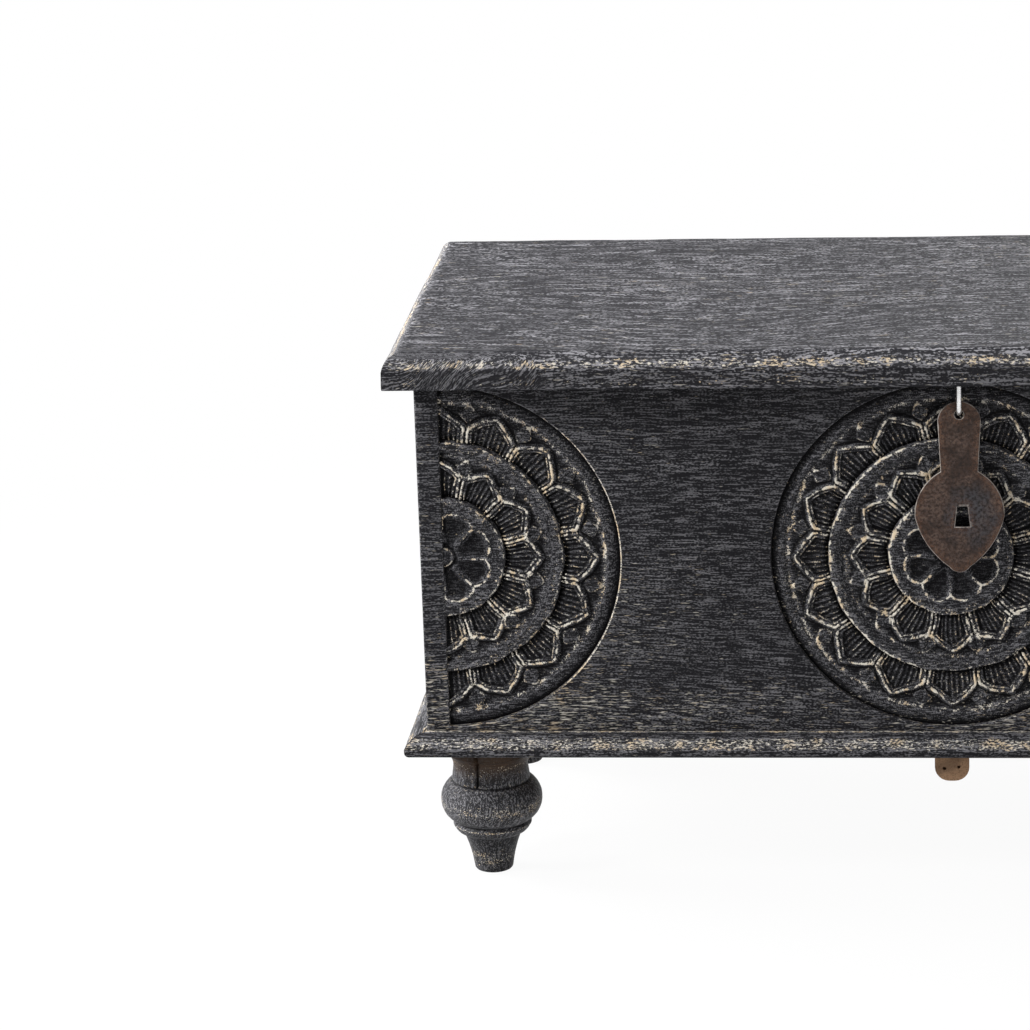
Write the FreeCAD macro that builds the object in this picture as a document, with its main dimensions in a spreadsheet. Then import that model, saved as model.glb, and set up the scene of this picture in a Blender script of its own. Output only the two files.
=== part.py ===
import FreeCAD, Part

import os
import re

import Sketcher
from FreeCAD import Placement, Rotation, Vector

# Carved wooden chest on turned feet, in millimetres.
# X runs along the front, Y from front to back, Z up from the floor.
# The origin is on the floor under the middle of the lid.

doc = FreeCAD.newDocument("CarvedChest")
sheet = doc.addObject("Spreadsheet::Sheet", "Sizes")

SIZES = [
    ("body_width", 952, "carcass, outside, end to end"),
    ("body_depth", 400, "carcass, outside, front to back"),
    ("board_height", 331, "carcass boards, floor planks to lid"),
    ("front_thickness", 26, "front board"),
    ("back_thickness", 24, "back board"),
    ("end_thickness", 20, "end boards"),
    ("rebate_depth", 6, "end boards let into front and back boards"),
    ("floor_thickness", 18, "floor planks"),
    ("moulding_height", 21, "base moulding"),
    ("moulding_reach", 20, "base moulding, out from the boards"),
    ("moulding_nose", 9, "height of the moulding's nose"),
    ("batten_width", 31, "floor batten"),
    ("batten_drop", 27, "floor batten, below the planks"),
    ("batten_round", 14, "height of the batten's round underside"),
    ("foot_height", 131, "floor to the underside of the planks"),
    ("foot_inset", 51, "foot axis, in from the carcass faces"),
    ("sole_radius", 15, "flat of the foot on the floor"),
    ("toe_radius", 18, "foot above the worn sole edge"),
    ("toe_height", 4, "worn sole edge"),
    ("shank_radius", 27, "top of the tapered lower foot"),
    ("shank_height", 37, "top of the tapered lower foot"),
    ("lip_radius", 35.5, "lip under the bulge"),
    ("lip_height", 46, "middle of the lip"),
    ("bulge_radius", 47, "widest part of the foot"),
    ("bulge_height", 73, "height of the widest part"),
    ("ring_radius", 36, "bottom of the incised ring"),
    ("ring_height", 89, "height of the incised ring"),
    ("neck_radius", 34.5, "neck above the ring"),
    ("neck_height", 103, "height of the neck"),
    ("collar_radius", 42, "collar under the planks"),
    ("collar_height", 117, "bottom of the collar's straight part"),
    ("tenon_radius", 13, "foot tenon"),
    ("tenon_clearance", 0.1, "tenon in its hole, on the radius"),
    ("lid_thickness", 34, "lid planks"),
    ("lid_front_overhang", 35, "lid past the front board"),
    ("lid_back_overhang", 30, "lid past the back board"),
    ("lid_end_overhang", 24, "lid past the end boards"),
    ("lid_top_round", 16, "round on the lid's upper edges"),
    ("lid_lower_round", 6, "round on the lid's lower edges"),
    ("lid_plank_width", 152, "front and back lid planks"),
    ("cleat_width", 45, "cleats under the lid"),
    ("cleat_thickness", 19, "cleats under the lid"),
    ("cleat_clearance", 8, "cleat ends to the boards"),
    ("cleat_place", 226, "cleats, in from the carcass ends"),
    ("rail_thickness", 24, "hinge rail behind the back board"),
    ("rail_height", 42, "hinge rail"),
    ("rail_round", 15, "round on the rail's lower corner"),
    ("hinge_place", 146, "hinges, in from the carcass ends"),
    ("hinge_length", 76, "hinge leaves, along the rail"),
    ("knuckle_length", 25, "middle knuckle"),
    ("knuckle_radius", 4, "hinge knuckles"),
    ("leaf_thickness", 2.4, "hinge leaves"),
    ("lid_leaf_reach", 46, "lid leaf, forward from the axis"),
    ("rail_leaf_reach", 36, "rail leaf, down from the axis"),
    ("hinge_offset", 0.5, "axis out from the rail and below the lid"),
    ("hinge_clearance", 0.5, "moving hinge faces"),
    ("pin_radius", 2, "hinge pins"),
    ("pin_clearance", 0.05, "pin in its knuckles, on the radius"),
    ("pin_head_radius", 3, "peened pin ends"),
    ("pin_head_height", 1, "peened pin ends"),
    ("screw_radius", 1.9, "wood screws, shank"),
    ("screw_head_radius", 3.9, "wood screws, countersunk head"),
    ("screw_head_height", 2, "wood screws, countersunk head"),
    ("leaf_screw_length", 18, "screws in the hinge leaves"),
    ("rail_screw_length", 40, "screws through the rail"),
    ("cleat_screw_length", 38, "screws through the cleats"),
    ("nail_radius", 1.5, "nails, shank"),
    ("nail_head_radius", 3.5, "nails, head"),
    ("nail_head_height", 1.2, "nails, head"),
    ("floor_nail_length", 50, "nails up through the planks"),
    ("batten_nail_length", 40, "nails up through the batten"),
    ("hasp_place", 8, "hasp, right of the middle"),
    ("hasp_thickness", 3, "hasp plate"),
    ("hasp_head_width", 38, "hasp plate at its eye"),
    ("hasp_neck_width", 33, "hasp plate above the disc"),
    ("hasp_disc_width", 79, "hasp plate at the disc"),
    ("hasp_head_drop", 17, "top of the hasp to the head's full width"),
    ("hasp_neck_drop", 64, "top of the hasp to the neck"),
    ("hasp_disc_drop", 105.5, "top of the hasp to the widest part"),
    ("hasp_length", 157, "hasp plate, top to tip"),
    ("hasp_eye_radius", 4.2, "hole that the staple goes through"),
    ("slot_width", 9, "hasp slot, at its upper end"),
    ("slot_foot_width", 13.5, "hasp slot, at its lower end"),
    ("slot_place", 2.5, "hasp slot, right of the plate's middle"),
    ("slot_length", 19, "hasp slot"),
    ("wire_radius", 2.1, "bright staple wire"),
    ("staple_bend", 6.5, "bend of the hasp staple, wire centre"),
    ("staple_drop", 22, "lid underside to the centre of the bend"),
    ("staple_bite", 24, "staple legs in the lid"),
    ("staple_clearance", 0.3, "hasp on its staple"),
    ("staple_standoff", 1.5, "staple to the front board"),
    ("handle_height", 320, "handle axis above the floor"),
    ("handle_standoff", 9.5, "handle axis out from the end board"),
    ("bail_radius", 4, "handle rod"),
    ("bail_half_width", 52, "handle legs, out from the middle"),
    ("bail_drop", 50, "handle axis to the grip"),
    ("bail_bend", 20, "lower bends of the handle"),
    ("bail_elbow", 8, "bends into the pivots"),
    ("bail_pivot", 11, "pivot length past the elbow"),
    ("eye_clearance", 0.4, "pivot in its eye, on the radius"),
    ("eye_wire", 2, "radius of the eye staples' wire"),
    ("clench_length", 13, "staple ends bent over inside"),
    ("strip_width", 21, "plain strip at each end of the front"),
    ("rosette_radius", 160, "outer groove of a rosette"),
    ("rosette_groove", 5, "depth of the outer groove"),
    ("field_radius", 148, "edge of the outer petal field"),
    ("field_depth", 1.5, "petal fields below the face"),
    ("rim_depth", 0.6, "raised rims below the face"),
    ("middle_rim_outer", 109, "rim between the petal rings"),
    ("middle_rim_inner", 98, "rim between the petal rings"),
    ("inner_rim_outer", 56, "rim round the flower"),
    ("inner_rim_inner", 46, "rim round the flower"),
    ("hub_radius", 10, "middle of the flower"),
    ("petal_depth", 4.6, "petal hollows below the face"),
    ("petal_ridge", 4, "ridge between two petals"),
    ("outer_petals", 16, "petals in the outer ring"),
    ("middle_petals", 12, "petals in the middle ring"),
    ("inner_petals", 8, "petals in the flower"),
]

for row, (alias, number, note) in enumerate(SIZES, start=1):
    sheet.set(f"A{row}", alias)
    sheet.set(f"B{row}", str(number))
    sheet.setAlias(f"B{row}", alias)
    sheet.set(f"C{row}", note)
doc.recompute()


def tied(text):
    """Turn a sum of size names into an expression that other objects can use."""
    names = {alias for alias, _, _ in SIZES}
    return re.sub(r"[a-z_]+", lambda word: ("Sizes." if word[0] in names else "") + word[0], text)


def value(text):
    """Work out a sum of size names as a number."""
    return float(sheet.evalExpression(tied(text).replace("Sizes.", "")))


# Levels above the floor.
SEAT = "foot_height + floor_thickness"
RIM = f"{SEAT} + board_height"

# Places across the depth: the carcass stands a little behind the lid's middle.
MIDDLE = "( lid_front_overhang - lid_back_overhang ) / 2"
FRONT = f"( {MIDDLE} - body_depth / 2 )"
BACK = f"( {MIDDLE} + body_depth / 2 )"
END = "( body_width / 2 )"
LID_FRONT = f"( {FRONT} - lid_front_overhang )"
LID_BACK = f"( {BACK} + lid_back_overhang )"
LID_END = f"( {END} + lid_end_overhang )"

# The hinge axis runs just off the rail's upper back corner.
AXIS_Y = f"( {BACK} + rail_thickness + hinge_offset )"
AXIS_Z = f"( {RIM} - hinge_offset )"
HINGE_X = f"( {END} - hinge_place )"
CLEAT_X = f"( {END} - cleat_place )"

# The hasp swings about the centre of its staple's bend.
HASP_Y = f"( {FRONT} - staple_standoff - wire_radius - staple_bend )"
HASP_Z = f"( {RIM} - staple_drop )"
EYE_TOP = "( staple_bend - wire_radius - staple_clearance )"

# The rosettes sit in the middle of the height that shows above the moulding.
ROSETTE_Z = "( board_height + moulding_height - floor_thickness ) / 2"
ROSETTE_STEP = f"( {END} - strip_width )"


def bind(target, **sums):
    """Tie properties of an object to sums of sizes."""
    for name, text in sums.items():
        target.setExpression(name.replace("_dot_", "."), tied(text))


def put(target, x="0", y="0", z="0"):
    """Tie an object's place to sums of sizes."""
    bind(target, Placement_dot_Base_dot_x=x, Placement_dot_Base_dot_y=y, Placement_dot_Base_dot_z=z)
    return target


def box(name, x, y, z, length, width, height):
    """A block from its low corner and its three sizes."""
    made = doc.addObject("Part::Box", name)
    bind(made, Length=length, Width=width, Height=height)
    return put(made, x, y, z)


TURNS = {
    "x": Rotation(Vector(0, 1, 0), 90),
    "y": Rotation(Vector(1, 0, 0), -90),
    "z": Rotation(),
}


def rod(name, radius, length, x, y, z, along="z"):
    """A round bar from the middle of one end, along X, Y or Z."""
    made = doc.addObject("Part::Cylinder", name)
    made.Placement = Placement(Vector(), TURNS[along])
    bind(made, Radius=radius, Height=length)
    return put(made, x, y, z)


def fuse(name, shapes):
    made = doc.addObject("Part::MultiFuse", name)
    made.Shapes = shapes
    return made


def group(name, shapes):
    made = doc.addObject("Part::Compound", name)
    made.Links = shapes
    return made


def cut(name, base, tool):
    made = doc.addObject("Part::Cut", name)
    made.Base = base
    made.Tool = tool
    return made


def common(name, base, tool):
    made = doc.addObject("Part::Common", name)
    made.Base = base
    made.Tool = tool
    return made


def mirrored(name, source):
    """The same piece on the other end of the chest."""
    made = doc.addObject("Part::Mirroring", name)
    made.Source = source
    made.Base = Vector(0, 0, 0)
    made.Normal = Vector(1, 0, 0)
    return made


def new_body(name):
    return doc.addObject("PartDesign::Body", name)


def new_sketch(body, name, role, x="0", y="0", out="0"):
    """A sketch on one of its body's own planes, shifted by sums of sizes."""
    made = body.newObject("Sketcher::SketchObject", name)
    made.AttachmentSupport = [(next(o for o in body.Origin.OriginFeatures if o.Role == role), "")]
    made.MapMode = "FlatFace"
    for letter, text in zip("xyz", (x, y, out)):
        made.setExpression(f"AttachmentOffset.Base.{letter}", tied(text))
    return made


def pin_point(made, index, position, x, y):
    """Tie one point of a sketch to two sums of sizes."""
    for kind, text in (("DistanceX", x), ("DistanceY", y)):
        number = made.addConstraint(Sketcher.Constraint(kind, -1, 1, index, position, value(text)))
        name = f"{kind}_{index}_{position}"
        made.renameConstraint(number, name)
        made.setExpression(f"Constraints.{name}", tied(text))


def draw(made, points, closed=True):
    """Join points with lines, or with arcs where a point names a third place to pass through."""
    spots = [Vector(value(point[0]), value(point[1]), 0) for point in points]
    ends = []
    last = len(points) if closed else len(points) - 1
    for number in range(last):
        start = spots[number]
        end = spots[(number + 1) % len(points)]
        if len(points[number]) == 2:
            index = made.addGeometry(Part.LineSegment(start, end))
            ends.append((index, 1, 2))
            continue
        through_x, through_y = points[number][2:]
        through = Vector(value(through_x), value(through_y), 0)
        index = made.addGeometry(Part.Arc(start, through, end))
        leftward = (through - start).cross(end - start).z > 0
        ends.append((index, 1, 2) if leftward else (index, 2, 1))
        spot = made.addGeometry(Part.Point(through), True)
        pin_point(made, spot, 1, through_x, through_y)
        made.addConstraint(Sketcher.Constraint("PointOnObject", spot, 1, index))
    for number in range(last):
        index, first, second = ends[number]
        pin_point(made, index, first, *points[number][:2])
        if number + 1 < last or closed:
            following, start, _ = ends[(number + 1) % len(ends)]
            made.addConstraint(Sketcher.Constraint("Coincident", index, second, following, start))
        else:
            pin_point(made, index, second, *points[number + 1][:2])
    return made


def rectangle(made, left, low, right, high):
    return draw(made, [(left, low), (right, low), (right, high), (left, high)])


def circle(made, radius, x="0", y="0"):
    """A circle tied to a radius and a centre."""
    centre = Vector(value(x), value(y), 0)
    index = made.addGeometry(Part.Circle(centre, Vector(0, 0, 1), value(radius)))
    number = made.addConstraint(Sketcher.Constraint("Radius", index, value(radius)))
    made.renameConstraint(number, f"Radius_{index}")
    made.setExpression(f"Constraints.Radius_{index}", tied(radius))
    pin_point(made, index, 3, x, y)
    return made


def pad(body, profile, length, backward=False, both=False):
    made = body.newObject("PartDesign::Pad", f"{profile.Name}_pad")
    made.Profile = profile
    made.Reversed = backward
    made.Midplane = both
    bind(made, Length=length)
    return made


def pocket(body, profile, length=None, backward=False, both=False):
    """Cut a sketch into its body, to a depth or right through."""
    made = body.newObject("PartDesign::Pocket", f"{profile.Name}_pocket")
    made.Profile = profile
    made.Reversed = backward
    made.Midplane = both
    if length is None:
        made.Type = "ThroughAll"
    else:
        bind(made, Length=length)
    return made


def round_edges(body, feature, radius, chosen):
    """Round the edges of a feature that a test picks out."""
    doc.recompute()
    names = [f"Edge{n}" for n, edge in enumerate(feature.Shape.Edges, start=1) if chosen(edge.BoundBox)]
    made = body.newObject("PartDesign::Fillet", f"{feature.Name}_round")
    made.Base = (feature, names)
    bind(made, Radius=radius)
    return made


def pipe(body, section, path):
    """Sweep a round section along a sketched path."""
    made = body.newObject("PartDesign::AdditivePipe", f"{path.Name}_pipe")
    made.Profile = section
    made.Spine = (path, [f"Edge{n + 1}" for n in range(len(path.Shape.Edges))])
    return made


kept = []


def keep(target, label):
    """Name a finished sub-part."""
    target.Label = label
    kept.append(target)
    return target


def fasteners(name, head_radius, head_height, radius, length, places, head_end, tapered):
    """Screws or nails as one group: each place is the middle of a head's face and the way it points in."""
    wide = value(head_radius)
    tall = value(head_height)
    thin = value(radius)
    long = value(length)
    spindle = [(0, 0), (wide, 0), (wide, tall), (thin, tall), (thin, long), (0, long + thin)]
    if tapered:
        spindle = [(0, 0), (wide, 0), (thin, tall), (thin, long), (0, long + thin)]
    corners = [Vector(across, 0, along) for across, along in spindle]
    profile = Part.Face(Part.makePolygon(corners + corners[:1]))
    single = profile.revolve(Vector(0, 0, 0), Vector(0, 0, 1), 360)
    solids = []
    for x, y, z in places:
        copy = single.copy()
        copy.Placement = Placement(Vector(value(x), value(y), value(z)), Rotation(Vector(0, 0, 1), head_end))
        solids.append(copy)
    made = doc.addObject("Part::Feature", name)
    made.Shape = Part.makeCompound(solids)
    return made


# Nails up through the floor planks into the four boards.
floor_places = []
for y in (f"{FRONT} + front_thickness / 2", f"{BACK} - back_thickness / 2"):
    for step in ("- body_width / 3", "- body_width / 9", "body_width / 9", "body_width / 3"):
        floor_places.append((step, y, "foot_height"))
for x in (f"- ( {END} - end_thickness / 2 )", f"{END} - end_thickness / 2"):
    floor_places.append((x, f"{MIDDLE} - body_depth / 10", "foot_height"))
    floor_places.append((x, f"{MIDDLE} + body_depth / 10", "foot_height"))
floor_nails = keep(fasteners("floor_nail_set", "nail_head_radius", "nail_head_height", "nail_radius",
                             "floor_nail_length", floor_places, Vector(0, 0, 1), False), "floor_nails")

# Front board: a padded board, rebated at the ends, then carved.
front = new_body("front_board_body")
put(front, "0", FRONT, SEAT)
outline = rectangle(new_sketch(front, "front_outline", "XZ_Plane"), f"- {END}", "0", END, "board_height")
pad(front, outline, "front_thickness", backward=True)
rebates = new_sketch(front, "front_rebates", "XY_Plane")
rectangle(rebates, f"- {END}", "front_thickness - rebate_depth", f"end_thickness - {END}", "front_thickness")
rectangle(rebates, f"{END} - end_thickness", "front_thickness - rebate_depth", END, "front_thickness")
pocket(front, rebates, backward=True)

# Turned form of a rosette: outer groove, two petal fields, two raised rims and the hub.
turning = new_sketch(front, "rosette_turning", "YZ_Plane", y=ROSETTE_Z, out=f"- {ROSETTE_STEP}")
draw(turning, [
    ("- field_depth", "0"),
    ("- field_depth", "rosette_radius"),
    ("rosette_groove", "rosette_radius - 1"),
    ("field_depth", "field_radius"),
    ("field_depth", "middle_rim_outer"),
    ("rim_depth", "middle_rim_outer"),
    ("rim_depth", "middle_rim_inner"),
    ("field_depth", "middle_rim_inner"),
    ("field_depth", "inner_rim_outer"),
    ("rim_depth", "inner_rim_outer"),
    ("rim_depth", "inner_rim_inner"),
    ("field_depth", "inner_rim_inner"),
    ("field_depth", "hub_radius"),
    ("rim_depth", "hub_radius"),
    ("rim_depth", "0"),
])
groove = front.newObject("PartDesign::Groove", "rosette_groove_cut")
groove.Profile = turning
groove.ReferenceAxis = (turning, ["H_Axis"])
groove.Angle = 360
doc.recompute()


def along_front(direction, originals):
    """Repeat carving on the left, middle and right rosettes."""
    made = front.newObject("PartDesign::LinearPattern", f"{originals[0].Name}_row")
    made.Direction = (direction, ["H_Axis"])
    made.Occurrences = 3
    bind(made, Length=f"2 * {ROSETTE_STEP}")
    return made


row = along_front(outline, [groove])
row.Originals = [groove]
front.Tip = row
doc.recompute()


def petal_ring(name, count, start, base, waist, tip, shoulder):
    """Hollow out one ring of pointed petals on each rosette."""
    hollow = new_sketch(front, name, "XZ_Plane", x=f"- {ROSETTE_STEP}", y=ROSETTE_Z)
    reach = f"tan(180 / {count})"
    base_half = f"( ( {base} ) * {reach} - petal_ridge / 2 )"
    waist_half = f"( ( {waist} ) * {reach} - petal_ridge / 2 )"
    bow_x = f"( {waist_half} * {shoulder} )"
    bow_y = f"( ( {waist} ) * 0.42 + ( {tip} ) * 0.58 )"
    draw(hollow, [
        (f"- {base_half}", base),
        (base_half, base),
        (waist_half, waist, bow_x, bow_y),
        ("0", tip, f"- {bow_x}", bow_y),
        (f"- {waist_half}", waist),
    ])
    hollow.AttachmentOffset = Placement(hollow.AttachmentOffset.Base, Rotation(Vector(0, 0, 1), start))
    scoop = pocket(front, hollow, "petal_depth")
    doc.recompute()
    whole = front.newObject("PartDesign::MultiTransform", f"{name}_ring")
    around = front.newObject("PartDesign::PolarPattern", f"{name}_around")
    around.Axis = (hollow, ["N_Axis"])
    around.Angle = 360
    bind(around, Occurrences=count)
    across = along_front(outline, [scoop])
    whole.Originals = [scoop]
    whole.Transformations = [around, across]
    front.Tip = whole
    doc.recompute()


petal_ring("outer_petal", "outer_petals", 0, "middle_rim_outer + 1.5", "middle_rim_outer + 17",
           "field_radius - 1", 0.72)
petal_ring("middle_petal", "middle_petals", 0, "inner_rim_outer + 1.5", "inner_rim_outer + 24",
           "middle_rim_inner - 1", 0.72)
petal_ring("inner_petal", "inner_petals", value("180 / inner_petals"), "hub_radius + 3",
           "inner_rim_inner - 13", "inner_rim_inner - 1", 0.8)

strips = new_sketch(front, "end_strips", "XZ_Plane")
rectangle(strips, f"- {END}", "0", f"strip_width - {END}", "board_height")
rectangle(strips, f"{END} - strip_width", "0", END, "board_height")
pad(front, strips, "rosette_groove + 1", backward=True)
keep(cut("front_board_nailed", front, floor_nails), "front_board")

# Back board, rebated at the ends like the front.
back = new_body("back_board_body")
put(back, "0", f"{BACK} - back_thickness", SEAT)
back_plan = new_sketch(back, "back_plan", "XY_Plane")
draw(back_plan, [
    (f"end_thickness - {END}", "0"),
    (f"{END} - end_thickness", "0"),
    (f"{END} - end_thickness", "rebate_depth"),
    (END, "rebate_depth"),
    (END, "back_thickness"),
    (f"- {END}", "back_thickness"),
    (f"- {END}", "rebate_depth"),
    (f"end_thickness - {END}", "rebate_depth"),
])
pad(back, back_plan, "board_height")

# End boards between the rebates, bored for the handle staples.
END_FRONT = f"( {FRONT} + front_thickness - rebate_depth )"
END_BACK = f"( {BACK} - back_thickness + rebate_depth )"
EYE_Y = "( bail_half_width + bail_elbow + bail_pivot / 2 )"
HANDLE_X = f"( {END} + handle_standoff )"


def eye_staple(name, y):
    """A wire eye on the right end: a ring round the pivot, a shank through the board, two clenched ends."""
    ring = doc.addObject("Part::Torus", f"{name}_ring")
    ring.Placement = Placement(Vector(), TURNS["y"])
    bind(ring, Radius1="bail_radius + eye_clearance + eye_wire", Radius2="eye_wire")
    put(ring, HANDLE_X, y, "handle_height")
    stem = f"( handle_standoff - bail_radius - eye_clearance - eye_wire )"
    shank = rod(f"{name}_shank", "eye_wire * 1.4", f"{stem} + end_thickness + eye_wire",
                f"{END} - end_thickness - eye_wire", y, "handle_height", "x")
    clench = rod(f"{name}_clench", "eye_wire", "2 * clench_length", f"{END} - end_thickness - eye_wire", y,
                 "handle_height - clench_length")
    return fuse(name, [ring, shank, clench])


staples = group("right_staples", [
    eye_staple("right_front_eye", f"{MIDDLE} - {EYE_Y}"),
    eye_staple("right_back_eye", f"{MIDDLE} + {EYE_Y}"),
])
end_block = box("right_end_block", f"{END} - end_thickness", END_FRONT, SEAT, "end_thickness",
                f"{END_BACK} - {END_FRONT}", "board_height")
end_bored = cut("right_end_bored", end_block, staples)
keep(cut("right_end", end_bored, floor_nails), "right_end_board")
keep(cut("left_end", mirrored("left_end_bored", end_bored), floor_nails), "left_end_board")
keep(staples, "right_handle_staples")
keep(mirrored("left_staples", staples), "left_handle_staples")

# Bail handle: a rod bent to a U, with its ends turned out into the eyes.
bail = new_body("right_bail_body")
put(bail, HANDLE_X, MIDDLE, "handle_height")
tip = "( bail_half_width + bail_elbow + bail_pivot )"
knee = "bail_elbow * ( 1 - cos(45) )"
sweep = "bail_bend * ( 1 - cos(45) )"
half_path = [
    (f"- {tip}", "0"),
    ("- ( bail_half_width + bail_elbow )", "0", f"- ( bail_half_width + {knee} )", f"- {knee}"),
    ("- bail_half_width", "- bail_elbow"),
    ("- bail_half_width", "bail_bend - bail_drop", f"{sweep} - bail_half_width", f"{sweep} - bail_drop"),
    ("bail_bend - bail_half_width", "- bail_drop"),
    ("bail_half_width - bail_bend", "- bail_drop", f"bail_half_width - {sweep}", f"{sweep} - bail_drop"),
    ("bail_half_width", "bail_bend - bail_drop"),
    ("bail_half_width", "- bail_elbow", f"bail_half_width + {knee}", f"- {knee}"),
    ("bail_half_width + bail_elbow", "0"),
    (tip, "0"),
]
bail_path = draw(new_sketch(bail, "bail_path", "YZ_Plane"), half_path, closed=False)
bail_section = circle(new_sketch(bail, "bail_section", "XZ_Plane", out=tip), "bail_radius")
doc.recompute()
pipe(bail, bail_section, bail_path)
keep(bail, "right_handle_bail")
keep(mirrored("left_bail", bail), "left_handle_bail")

# Hinge rail with a rounded lower corner, screwed through to the back board.
rail = new_body("rail_body")
put(rail, f"- {END}", BACK, RIM)
rail_corner = "rail_round * ( 1 - cos(45) )"
rail_section = draw(new_sketch(rail, "rail_section", "YZ_Plane"), [
    ("0", "- rail_height"),
    ("rail_thickness - rail_round", "- rail_height",
     f"rail_thickness - {rail_corner}", f"{rail_corner} - rail_height"),
    ("rail_thickness", "rail_round - rail_height"),
    ("rail_thickness", "0"),
    ("0", "0"),
])
pad(rail, rail_section, "body_width")

rail_screws = fasteners(
    "rail_screw_set", "screw_head_radius", "screw_head_height", "screw_radius", "rail_screw_length",
    [(f"{side} * {place}", f"{BACK} + rail_thickness", f"{RIM} - rail_height / 2")
     for side in (-1, 1) for place in ("body_width / 12", f"( {END} - 2 * strip_width )")],
    Vector(0, -1, 0), True)
keep(rail_screws, "rail_screws")


def hinge(side, place):
    """One butt hinge, both leaves let in flush: rail leaf, lid leaf, pin and their screws."""
    low = f"( {place} - hinge_length / 2 )"
    inner = f"( {place} - knuckle_length / 2 )"
    outer = f"( {place} + knuckle_length / 2 + hinge_clearance )"
    outer_length = "( ( hinge_length - knuckle_length ) / 2 - hinge_clearance )"
    swing = "( knuckle_radius + hinge_clearance )"
    bore = rod(f"{side}_hinge_bore", "pin_radius + pin_clearance", "hinge_length", low, AXIS_Y, AXIS_Z, "x")

    plate = box(f"{side}_rail_plate", low, f"{AXIS_Y} - hinge_offset - leaf_thickness", f"{AXIS_Z} - rail_leaf_reach",
                "hinge_length", "leaf_thickness", f"rail_leaf_reach - {swing}")
    pieces = [plate]
    for end, start in (("near", low), ("far", outer)):
        pieces.append(box(f"{side}_rail_arm_{end}", start, f"{AXIS_Y} - hinge_offset - leaf_thickness",
                          f"{AXIS_Z} - {swing}", outer_length, "leaf_thickness", swing))
        pieces.append(rod(f"{side}_rail_knuckle_{end}", "knuckle_radius", outer_length, start, AXIS_Y, AXIS_Z, "x"))
    rail_leaf = cut(f"{side}_rail_leaf_bored", fuse(f"{side}_rail_leaf_whole", pieces), bore)

    plate = box(f"{side}_lid_plate", low, f"{AXIS_Y} - lid_leaf_reach", RIM, "hinge_length",
                f"lid_leaf_reach - {swing}", "leaf_thickness")
    arm = box(f"{side}_lid_arm", inner, f"{AXIS_Y} - {swing}", RIM, "knuckle_length", swing, "leaf_thickness")
    knuckle = rod(f"{side}_lid_knuckle", "knuckle_radius", "knuckle_length", inner, AXIS_Y, AXIS_Z, "x")
    lid_leaf = cut(f"{side}_lid_leaf_bored", fuse(f"{side}_lid_leaf_whole", [plate, arm, knuckle]), bore)

    shaft = rod(f"{side}_pin_shaft", "pin_radius", "hinge_length", low, AXIS_Y, AXIS_Z, "x")
    heads = [rod(f"{side}_pin_head_{end}", "pin_head_radius", "pin_head_height", start, AXIS_Y, AXIS_Z, "x")
             for end, start in (("near", f"{low} - pin_head_height"), ("far", f"{low} + hinge_length"))]
    hinge_pin = fuse(f"{side}_pin_whole", [shaft] + heads)

    across = ("- hinge_length / 3", "0", "hinge_length / 3")
    rail_places = [(f"{place} + {step}", f"{AXIS_Y} - hinge_offset", f"{AXIS_Z} - rail_leaf_reach * {down}")
                   for step, down in zip(across, (0.42, 0.72, 0.42))]
    lid_places = [(f"{place} + {step}", f"{AXIS_Y} - lid_leaf_reach * {forward}", RIM)
                  for step, forward in zip(across, (0.42, 0.72, 0.42))]
    return rail_leaf, lid_leaf, hinge_pin, rail_places, lid_places


def hinge_seats(side, place):
    """Room for a hinge: the cuts in the rail, and those in the lid."""
    low = f"( {place} - hinge_length / 2 )"
    ends = "( pin_head_height + hinge_clearance )"
    swing = "( knuckle_radius + hinge_clearance )"
    rail_seats = [
        box(f"{side}_rail_bed", low, f"{AXIS_Y} - hinge_offset - leaf_thickness", f"{AXIS_Z} - rail_leaf_reach",
            "hinge_length", "2 * leaf_thickness", "rail_leaf_reach"),
        box(f"{side}_rail_notch", f"{low} - {ends}", f"{AXIS_Y} - {swing}", f"{AXIS_Z} - {swing}",
            f"hinge_length + 2 * {ends}", f"2 * {swing}", f"2 * {swing}"),
    ]
    lid_seats = [
        box(f"{side}_lid_bed", low, f"{AXIS_Y} - lid_leaf_reach", f"{RIM} - leaf_thickness",
            "hinge_length", "lid_leaf_reach", "2 * leaf_thickness"),
        box(f"{side}_lid_notch", f"{low} - {ends}", f"{AXIS_Y} - {swing}", f"{AXIS_Z} - {swing}",
            f"hinge_length + 2 * {ends}", f"{LID_BACK} - {AXIS_Y} + 2 * {swing}", f"2 * {swing}"),
    ]
    return rail_seats, lid_seats


rail_cuts = []
lid_cuts = []
rail_spots = []
lid_spots = []
leaves = {}
for side, place in (("left", f"( - {HINGE_X} )"), ("right", HINGE_X)):
    rail_leaf, lid_leaf, hinge_pin, rail_places, lid_places = hinge(side, place)
    leaves[side] = (rail_leaf, lid_leaf)
    keep(hinge_pin, f"{side}_hinge_pin")
    rail_spots += rail_places
    lid_spots += lid_places
    rail_seats, lid_seats = hinge_seats(side, place)
    rail_cuts += rail_seats
    lid_cuts += lid_seats

rail_leaf_screws = keep(fasteners(
    "rail_leaf_screw_set", "screw_head_radius", "screw_head_height", "screw_radius", "leaf_screw_length",
    rail_spots, Vector(0, -1, 0), True), "rail_leaf_screws")
lid_leaf_screws = keep(fasteners(
    "lid_leaf_screw_set", "screw_head_radius", "screw_head_height", "screw_radius", "leaf_screw_length",
    lid_spots, Vector(0, 0, 1), True), "lid_leaf_screws")
for side, (rail_leaf, lid_leaf) in leaves.items():
    keep(cut(f"{side}_rail_leaf", rail_leaf, rail_leaf_screws), f"{side}_hinge_rail_leaf")
    keep(cut(f"{side}_lid_leaf", lid_leaf, lid_leaf_screws), f"{side}_hinge_lid_leaf")

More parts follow.
